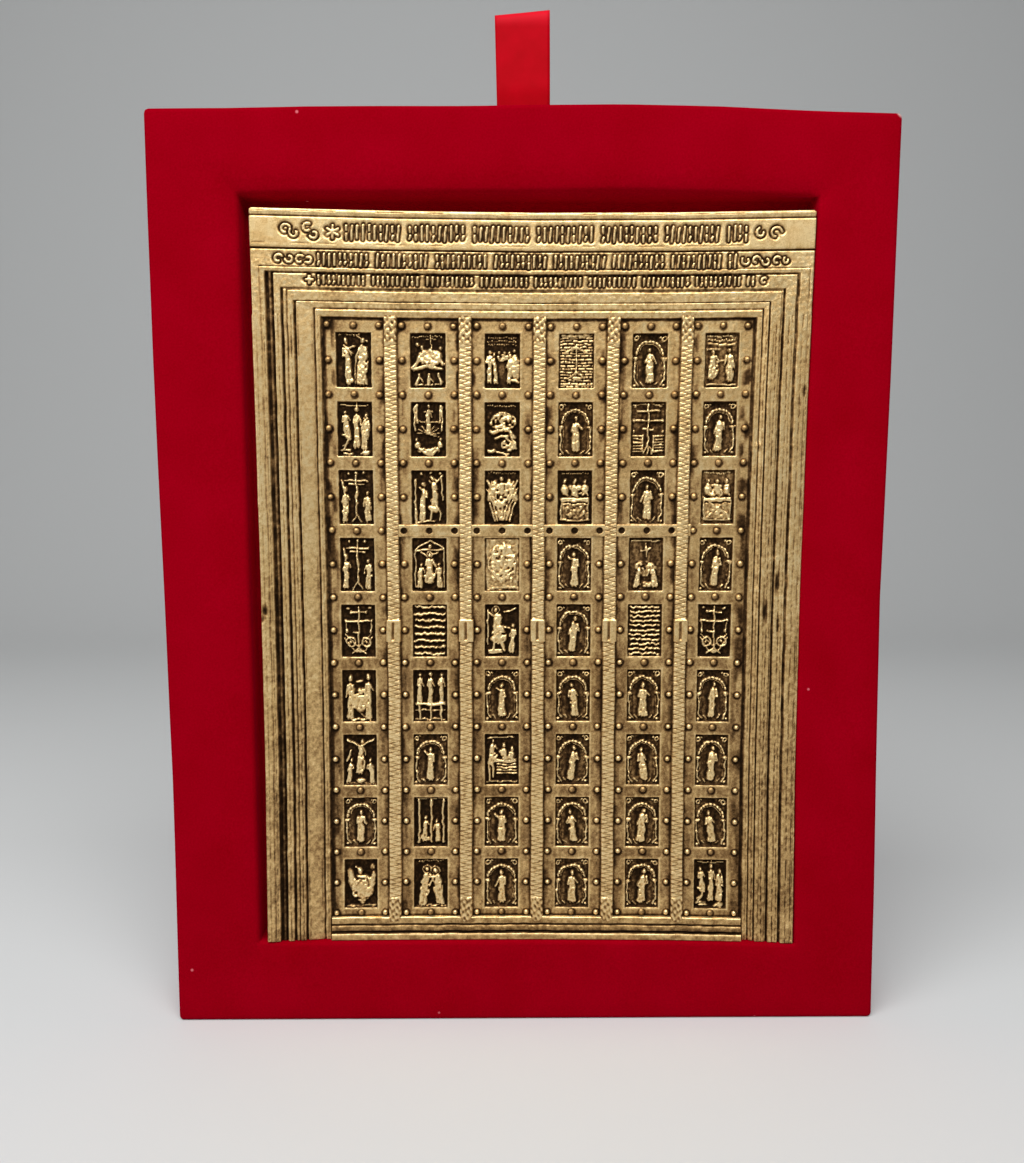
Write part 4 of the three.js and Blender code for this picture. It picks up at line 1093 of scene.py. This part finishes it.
def winged(picture):
    """A bird with folded, swelling wings."""
    picture.dome(0.3, -1.5, 1.7, 2.6, 0.78, 0.15).dome(-1.8, 0.3, 0.9, 3.0, 0.66, 0.2)
    picture.dome(2.0, -0.5, 0.85, 3.1, 0.66, -0.2)
    picture.dome(-0.3, 2.5, 0.55, 0.85, 0.8, 0.3).ridge(-0.5, 3.1, -1.1, 3.3, 0.13, 0.7)
    picture.dome(2.3, 3.4, 0.5, 0.7, 0.4)
    picture.dome(0.2, -4.0, 0.8, 0.5, 0.5).ridges(0.16, 0.4, (-2.9, -4.7, 2.9, -4.7))
    picture.rubble(0.2, -1.0, 2.4, 3.2, 0.8, 0.45)


def stooping(picture):
    arch(picture, -0.12, 1, 6.3)


def turning(picture):
    arch(picture, 0.1, 0, 6.7)


PICTURES = [
    [pair, swelling, crowds, courses, arch, facing],
    [trio, burst, gathering, arch, two_armed, turning],
    [cross_group, striding, boat, supper, arch, slanted_table],
    [cross_group, canopy, blossom, arch, faint, turning],
    [leaf_cross, bars, seated, turning, wavy_bars, leaf_cross],
    [joined_pair, railed_trio, arch, stooping, arch, turning],
    [leaning_group, arch, column_table, turning, stooping, turning],
    [arch, slim_columns, arch, stooping, turning, stooping],
    [winged, meeting, arch, arch, turning, trio],
]


def stud_places():
    """Middles of all the studs, whether the bar has a hole there instead, and whether it is a rail's."""
    for column in range(COLUMNS):
        for row in range(2 * ROWS + 1):
            offsets = (-STUD_OFFSET, 0, STUD_OFFSET) if row % 2 == 0 else (-STUD_OFFSET, STUD_OFFSET)
            for offset in offsets:
                place_x = FIRST_COLUMN + column * COLUMN_PITCH + offset
                place_y = FIRST_ROW + (1 - row) * ROW_PITCH / 2
                yield place_x, place_y, row == BAR_ROW and 0 < column < COLUMNS - 1, offset == 0


def door_leaf(column, xs, ys):
    """Heights and patina, with painted shade and highlights, of one column of the door, from strap to strap.
    """
    x, y = np.meshgrid(xs, ys)
    middle = FIRST_COLUMN + column * COLUMN_PITCH
    heights = FIELD_LEVEL + 0.05 * (grain(x, y, 1.6, 51) - 0.5) + 0.05 * (grain(x, y, 0.4, 52) - 0.5)
    # The frames are golden at the top and browner further down, with fine upright scratches
    # The browning further down is partly patina and partly painted shade where less light falls
    patina_and_shade = np.interp(y, (DOOR_FOOT, DOOR_FOOT + 40, DOOR_TOP - 45, DOOR_TOP - 8), (0.36, 0.4, 0.3, 0.2))
    patina_and_shade = patina_and_shade + 0.2 * (grain(x, y * 0.2, 0.5, 53 + column) - 0.5) + 0.16 * (grain(x, y, 0.4, 59) - 0.5)
    patina_and_shade = patina_and_shade + 0.16 * (grain(x, y, 2.6, 63 + column) - 0.5)
    # Patina is left in a thin line along the straps and the door's edge, and in smears beside them
    edge = np.minimum(x - xs[0], xs[-1] - x)
    line = np.exp(-(((edge - STRAP_HALF - 0.14) / 0.16) ** 2))
    if column == 0:
        line = np.maximum(line * (x > middle), smooth(-(x - xs[0]), -0.75, -0.4))
    if column == COLUMNS - 1:
        line = np.maximum(line * (x < middle), smooth(-(xs[-1] - x), -0.5, -0.25))
    line = np.maximum(line, smooth(-(DOOR_TOP - y), -0.6, -0.3))
    line = np.maximum(line, smooth(-(y - DOOR_FOOT), -0.4, -0.2))
    smear = smooth(grain(x, y * 0.3, 1.0, 65 + column), 0.5, 0.8) * smooth(-edge, -2.9, -1.3)
    corner = np.exp(-((edge / 2.2) ** 2) - ((DOOR_TOP - y) / 2.0) ** 2)
    patina_and_shade = patina_and_shade + 0.55 * line + 0.55 * smear * (0.5 + 0.5 * smooth(y, 40, 100)) + 0.5 * corner
    # Patina rings round the studs' feet, shifted down and right as a painted shadow under each stud
    for stud_x, stud_y, _, _ in stud_places():
        if abs(stud_x - middle) < COLUMN_PITCH / 2:
            box = (np.abs(x - stud_x) < 1.6) & (np.abs(y - stud_y) < 1.6)
            reach = np.hypot(x[box] - stud_x - 0.06, y[box] - stud_y + 0.12)
            patina_and_shade[box] = patina_and_shade[box] + 0.55 * smooth(-reach, -1.0, -0.62)
    for row in range(ROWS):
        centre = FIRST_ROW - row * PANEL_PITCH
        rows = np.where(np.abs(y[:, 0] - centre) < PANEL_HALF_HEIGHT + 0.45)[0]
        cols = np.where(np.abs(x[0] - middle) < PANEL_HALF_WIDTH + 0.45)[0]
        window = np.ix_(rows, cols)
        u, v = x[window] - middle, y[window] - centre
        seed = 100 * row + column
        wander = 0.36 * (grain(u, v, 0.9, seed) - 0.5), 0.36 * (grain(u, v, 0.9, seed + 50) - 0.5)
        picture = Picture(u + wander[0], v + wander[1], seed)
        PICTURES[row][column](picture)
        inside = np.minimum(PANEL_HALF_WIDTH - np.abs(u), PANEL_HALF_HEIGHT - np.abs(v))
        sunk = smooth(inside + 0.12 * (grain(u, v, 0.8, seed + 7) - 0.5), -0.02, 0.16)
        relief = picture.height * (0.8 + 0.4 * grain(u, v, 0.38, seed + 9))
        relief = relief + 0.1 * (grain(u, v, 0.3, row + 9) - 0.5)
        floor = FLOOR_LEVEL + np.minimum(relief, 0.85)
        heights[window] = heights[window] * (1 - sunk) + floor * sunk
        hollow = blurred(relief, 2) - relief
        ground = picture.ground + 0.3 * (grain(u, v * 0.25, 0.35, seed + 3) - 0.5)
        lit = smooth(relief, 0.12, 0.6)
        # Raised figures darken a little row by row downwards: partly patina, partly painted shade
        tone = ground * (1 - lit) + (0.04 + 0.012 * row) * lit + 1.8 * hollow
        tone = tone + 0.3 * (grain(u, v, 0.4, 90 + row) - 0.5)
        # The panels' rims, and the raised sills along their lower and right edges, are painted brighter,
        # more in lower rows: a painted highlight
        rim = np.exp(-(((inside + 0.16) / 0.14) ** 2))
        inner = np.exp(-(((inside - 0.1) / 0.13) ** 2))
        patina_and_shade[window] = patina_and_shade[window] * (1 - sunk) + tone * sunk + 0.5 * inner
        sill = rim * np.maximum(v < -PANEL_HALF_HEIGHT + 0.05, (u > PANEL_HALF_WIDTH - 0.05) * 0.6)
        heights[window] = heights[window] + 0.08 * sill
        patina_and_shade[window] = patina_and_shade[window] - (0.12 + 0.02 * row) * rim - 0.2 * sill
    return heights, patina_and_shade


def leaf_lines(column):
    """Grid lines of a column, fine across its pictures; columns meet under the straps."""
    middle = FIRST_COLUMN + column * COLUMN_PITCH
    left = DOOR_LEFT if column == 0 else middle - COLUMN_PITCH / 2
    right = DOOR_RIGHT if column == COLUMNS - 1 else middle + COLUMN_PITCH / 2
    inner = PANEL_HALF_WIDTH + 0.3
    return stations((left, middle - inner, 0.26), (middle - inner, middle + inner, 0.16),
        (middle + inner, right, 0.26))


panel_reach = PANEL_HALF_HEIGHT + 0.3
stretches = [(DOOR_FOOT, FIRST_ROW - (ROWS - 1) * PANEL_PITCH - panel_reach, 0.28)]
for row in reversed(range(ROWS)):
    centre = FIRST_ROW - row * PANEL_PITCH
    above = DOOR_TOP if row == 0 else centre + PANEL_PITCH - panel_reach
    stretches.append((centre - panel_reach, centre + panel_reach, 0.172))
    stretches.append((centre + panel_reach, above, 0.28))
leaf_ys = stations(*stretches)
for column in range(COLUMNS):
    leaf_xs = leaf_lines(column)
    heights, patina_and_shade = door_leaf(column, leaf_xs, leaf_ys)
    cast_block(f"casting_leaf_{column + 1}", leaf_xs, leaf_ys, heights, patina_and_shade)

# Straps: raised bands between the columns with an incised zigzag, a scrolled head and foot and a
# collar with two ribs half-way up. Handling has rubbed them brighter than the frames.
STRAP_LEVEL = 4.4
STRAP_TOP = PLATE_HEIGHT - 18.8
STRAP_FOOT = PLATE_HEIGHT - 136.6
COLLAR_TOP = PLATE_HEIGHT - 75.6
COLLAR_FOOT = PLATE_HEIGHT - 80.0
ZIGZAG_PITCH = 0.93
strap_ys = stations((STRAP_FOOT, STRAP_TOP, 0.165))
for strap in range(COLUMNS - 1):
    middle = FIRST_COLUMN + (strap + 0.5) * COLUMN_PITCH
    strap_xs = middle + stations((-1.48, -STRAP_HALF, 0.13), (-STRAP_HALF, STRAP_HALF, 0.155),
        (STRAP_HALF, 1.48, 0.13))
    x, y = np.meshgrid(strap_xs, strap_ys)
    across = x - middle + 0.06 * np.sin(y * 0.35 + strap * 2)
    swing = np.abs(((y - STRAP_FOOT + 0.2 * strap) / ZIGZAG_PITCH) % 1 - 0.5) * 4 - 1
    offset = np.abs(across / (STRAP_HALF - 0.1) - swing) * 0.26
    worn = 0.55 + 0.6 * grain(x, y, 0.7, 75 + strap)
    groove = smooth(-offset, -0.17, -0.03) * np.clip(worn, 0, 1)
    heights = STRAP_LEVEL - 0.14 * np.abs(across / STRAP_HALF) ** 3 - 0.15 * groove
    patina_and_shade = 0.02 + 0.5 * groove + 0.08 * smooth(np.abs(across), 0.9, 1.2)
    patina_and_shade = patina_and_shade + 0.2 * (grain(x, y, 1.4, 79 + strap) - 0.5)
    ornament = np.maximum(smooth(y, STRAP_TOP - 5.1, STRAP_TOP - 4.9),
        smooth(-y, -STRAP_FOOT - 5.1, -STRAP_FOOT - 4.9))
    scroll = np.sin(across * 4.2) * np.sin(y * 4.6 + strap) + 0.5 * np.sin(across * 8.5 + y * 3)
    scroll = scroll + 1.2 * (grain(x, y, 0.5, 85 + strap) - 0.5)
    carved = STRAP_LEVEL + 0.1 + 0.1 * np.clip(scroll, -1, 1)
    heights = heights * (1 - ornament) + carved * ornament
    patina_and_shade = patina_and_shade * (1 - ornament) + (0.24 - 0.36 * np.clip(scroll, -1, 1)) * ornament
    for ring_y in (STRAP_TOP - 5.0, STRAP_FOOT + 5.0, STRAP_TOP - 0.5):
        band = np.exp(-(((y - ring_y) / 0.16) ** 2))
        heights, patina_and_shade = heights + 0.08 * band, patina_and_shade - 0.3 * band
    on_collar = (y < COLLAR_TOP) & (y > COLLAR_FOOT)
    slotted = smooth(-np.abs(across + 0.1), -0.3, -0.15) * smooth(np.minimum(COLLAR_TOP - y,
        y - COLLAR_FOOT), 0.35, 0.6)
    heights = np.where(on_collar, 4.72 - 0.35 * slotted, heights)
    patina_and_shade = np.where(on_collar, 0.1 + 0.45 * slotted, patina_and_shade)
    reach = np.where(on_collar, 1.44, STRAP_HALF)
    round_foot = np.hypot(across, np.minimum(y - STRAP_FOOT - STRAP_HALF, 0))
    outside = np.maximum(np.abs(across), round_foot) - reach
    drop = smooth(outside, -0.12, 0.1)
    heights = heights * (1 - drop) + (FIELD_LEVEL - 0.15) * drop
    patina_and_shade = patina_and_shade * (1 - drop) + 0.75 * drop + 0.16 * (grain(x, y, 0.6, 70 + strap) - 0.5)
    cast_block(f"casting_strap_{strap + 1}", strap_xs, strap_ys, heights, patina_and_shade, 3.2)

# Bar: a flat band across the four middle columns, with round holes where the studs would stand.
BAR_TOP = PLATE_HEIGHT - 57.5
BAR_FOOT = PLATE_HEIGHT - 59.8
bar_xs = stations((FIRST_COLUMN + COLUMN_PITCH / 2, FIRST_COLUMN + 4.5 * COLUMN_PITCH + 1.6, 0.18))
bar_ys = stations((BAR_FOOT, BAR_TOP, 0.14))
x, y = np.meshgrid(bar_xs, bar_ys)
heights = 4.15 + 0.03 * (grain(x, y, 1.2, 81) - 0.5)
patina_and_shade = 0.2 + 0.3 * (grain(x, y, 1.5, 82) - 0.5) + 0.15 * (grain(x, y, 0.4, 83) - 0.5)
for hole_x, hole_y, is_hole, _ in stud_places():
    if is_hole:
        reach = np.hypot(x - hole_x, y - hole_y)
        heights = heights - 0.5 * smooth(-reach, -0.62, -0.45)
        patina_and_shade = patina_and_shade + 0.95 * smooth(-reach, -0.7, -0.5)
edge = np.minimum(y - BAR_FOOT, BAR_TOP - y)
heights = heights - 0.12 * smooth(-edge, -0.14, 0)
patina_and_shade = patina_and_shade + 0.25 * smooth(-edge, -0.2, -0.02) - 0.2 * np.exp(-(((BAR_TOP - y - 0.35) / 0.2) ** 2))
cast_block("casting_bar", bar_xs, bar_ys, heights, patina_and_shade, 3.2)

# Studs: cast round heads, a little uneven. Those on the cross rails are flatter and browner; the others
# stand higher and are painted brighter lower down as a painted highlight. Every head carries painted
# shade on its lower right side.


def studs():
    work = bmesh.new()
    tone = work.verts.layers.float.new("patina_and_shade")
    chance = np.random.RandomState(5)
    turned = Matrix.Rotation(math.pi / 2, 4, "X")
    for stud_x, stud_y, is_hole, on_rail in stud_places():
        if is_hole:
            continue
        low_down = float(np.interp(stud_y, (40, 100), (1, 0)))
        head = bmesh.ops.create_uvsphere(work, u_segments=10, v_segments=6, radius=1)["verts"]
        radius = (0.66 if on_rail else 0.66 - 0.1 * low_down) * chance.uniform(0.92, 1.06)
        squash = Matrix.Diagonal((radius, radius * chance.uniform(0.92, 1.06), 0.42 if on_rail else 0.6, 1))
        right, up = cast_place(stud_x, stud_y)
        centre = Vector((right, plaque_high.y / MM - FIELD_LEVEL + 0.03, up))
        centre += Vector((chance.uniform(-0.08, 0.08), 0, chance.uniform(-0.08, 0.08)))
        bmesh.ops.transform(work, matrix=Matrix.Scale(MM,
            4) @ Matrix.Translation(centre) @ turned @ squash, verts=head)
        # Lower down the heads are painted brighter: a painted highlight
        top = 0.36 if on_rail else 0.34 - 0.32 * low_down
        for vert in head:
            lift = (centre.y - vert.co.y / MM) / (0.42 if on_rail else 0.6)
            # Painted shade on each head's lower right side
            lower_right_shade = 0.14 * (vert.co.x / MM - centre.x - (vert.co.z / MM - centre.z)) / radius
            vert[tone] = min(1, max(0, top + 0.5 * max(0, 1 - lift) ** 1.5 + lower_right_shade))
    hidden = [vert for vert in work.verts if vert.co.y > plaque_high.y - (FIELD_LEVEL - 0.3) * MM]
    bmesh.ops.delete(work, geom=hidden, context="VERTS")
    bmesh.ops.holes_fill(work, edges=[edge for edge in work.edges if edge.is_boundary], sides=12)
    for face in work.faces:
        face.smooth = True
    return finished("casting_studs", work, brass, "antique_brass")


studs()

# Ribbon: a red satin ribbon folded into a flat loop, both ends tucked into the board's top edge.
RIBBON_HALF = 5.0 * MM
RIBBON_THICK = 0.3 * MM
RIBBON_TOP = 194.4
ribbon_low, ribbon_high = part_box("ribbon_loop")


def satin_finish():
    finish = Finish("red satin")
    weave = finish.noise(0.3 * MM, 2, stretch=(1, 1, 0.12))
    soft = finish.noise(4 * MM, 2)
    colour = finish.ramp(soft, (0.3, (0.36, 0.0, 0.004)), (0.7, (0.42, 0.0, 0.006)))
    # Light catches the fold; the ribbon sinks into shade where it leaves the board
    level = finish.add("ShaderNodeSeparateXYZ")
    finish.join(finish.place, level.inputs["Vector"])
    fold = finish.spread(level.outputs["Z"], (RIBBON_TOP - 3.2) * MM, (RIBBON_TOP - 0.6) * MM, 0, 0.5)
    colour = finish.blend(fold, colour, (0.75, 0.012, 0.03))
    shade = finish.spread(level.outputs["Z"], (BOARD_HEIGHT - 1) * MM, (BOARD_HEIGHT + 6) * MM, 0.45, 0)
    colour = finish.blend(shade, colour, (0.2, 0.0, 0.0))
    finish.join(colour, finish.shader.inputs["Base Color"])
    finish.set(Roughness=0.42, Specular_IOR_Level=0.03)
    finish.join(finish.bump(weave, 0.05 * MM, 0.3), finish.shader.inputs["Normal"])
    return finish.material


def ribbon_loop():
    foot = ribbon_low.z
    top = RIBBON_TOP * MM - RIBBON_THICK
    path = np.array([
        (-0.35, foot / MM), (-0.35, 171.5), (-0.9, 180), (-0.85, top / MM - 1.3), (-0.5, top / MM - 0.35),
        (0, top / MM),
        (0.5, top / MM - 0.35), (0.85, top / MM - 1.3), (0.9, 180), (0.35, 171.5), (0.35, foot / MM),
    ])
    length = np.concatenate([[0], np.cumsum(np.hypot(*np.diff(path, axis=0).T))])
    work = bmesh.new()
    bmesh.ops.create_grid(work, x_segments=14, y_segments=96, size=0.5)
    for vert in work.verts:
        reach = (vert.co.y + 0.5) * length[-1]
        depth = np.interp(reach, length, path[:, 0]) * MM
        height = np.interp(reach, length, path[:, 1]) * MM
        free = max(0, height / MM - BOARD_HEIGHT) / (RIBBON_TOP - BOARD_HEIGHT)
        across = vert.co.x * 2 * RIBBON_HALF
        lean = (0.45 if across < 0 else 0.08) * MM * free
        vert.co = (across - lean * abs(across) / RIBBON_HALF, depth, height + 0.1 * across * free)
    bent = [vert for vert in work.verts if vert.co.z > 178 * MM]
    bmesh.ops.smooth_vert(work, verts=bent, factor=0.5, use_axis_x=False, use_axis_y=True, use_axis_z=False)
    bmesh.ops.recalc_face_normals(work, faces=work.faces)
    bmesh.ops.solidify(work, geom=work.faces[:], thickness=RIBBON_THICK)
    for face in work.faces:
        face.smooth = True
    piece = finished("ribbon_satin", work, satin_finish(), "satin")
    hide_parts("ribbon_loop")
    return piece


ribbon_loop()

# Setting: a plain pale table that curves up into a backdrop, one broad soft light from above and in
# front, a weak one from the left, and even light from all around.
BEND_START = 0.45
BEND_RADIUS = 0.3


def backdrop():
    finish = Finish("pale paper")
    finish.set(Roughness=0.9)
    finish.shader.inputs["Base Color"].default_value = (0.62, 0.63, 0.63, 1)
    work = bmesh.new()
    bmesh.ops.create_grid(work, x_segments=2, y_segments=80, size=0.5)
    for vert in work.verts:
        reach = (vert.co.y + 0.5) * 3.4 - 1.4
        angle = min(max(reach - BEND_START, 0) / BEND_RADIUS, math.pi / 2)
        past = max(0, reach - BEND_START - BEND_RADIUS * math.pi / 2)
        vert.co.x *= 5
        vert.co.y = min(reach, BEND_START) + BEND_RADIUS * math.sin(angle)
        vert.co.z = BEND_RADIUS * (1 - math.cos(angle)) + past
    for face in work.faces:
        face.smooth = True
    sweep = finished("backdrop", work, finish.material)
    sweep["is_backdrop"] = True


def area_light(name, place, aim, size, power, colour=(1, 1, 1)):
    data = bpy.data.lights.new(name, "AREA")
    data.shape = "RECTANGLE"
    data.size, data.size_y = size
    data.energy = power
    data.color = colour
    light = bpy.data.objects.new(name, data)
    light.location = place
    light.rotation_mode = "QUATERNION"
    light.rotation_quaternion = (Vector(aim) - Vector(place)).to_track_quat("-Z", "Y")
    bpy.context.collection.objects.link(light)


backdrop()
area_light("window", (-0.06, -0.4, 0.62), (0, 0, 0.1), (0.8, 0.45), 6.8)
area_light("side", (-0.8, -0.5, 0.3), (0, 0, 0.09), (0.4, 0.6), 1.1)
world = bpy.data.worlds.new("room")
world.use_nodes = True
world.node_tree.nodes["Background"].inputs["Color"].default_value = (1, 1, 1, 1)
world.node_tree.nodes["Background"].inputs["Strength"].default_value = 0.165
bpy.context.scene.world = world

model_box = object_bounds()
sizes = {
    "cad": [list(map(float, corner)) for corner in cad_box],
    "visual": [list(map(float, corner)) for corner in model_box],
}
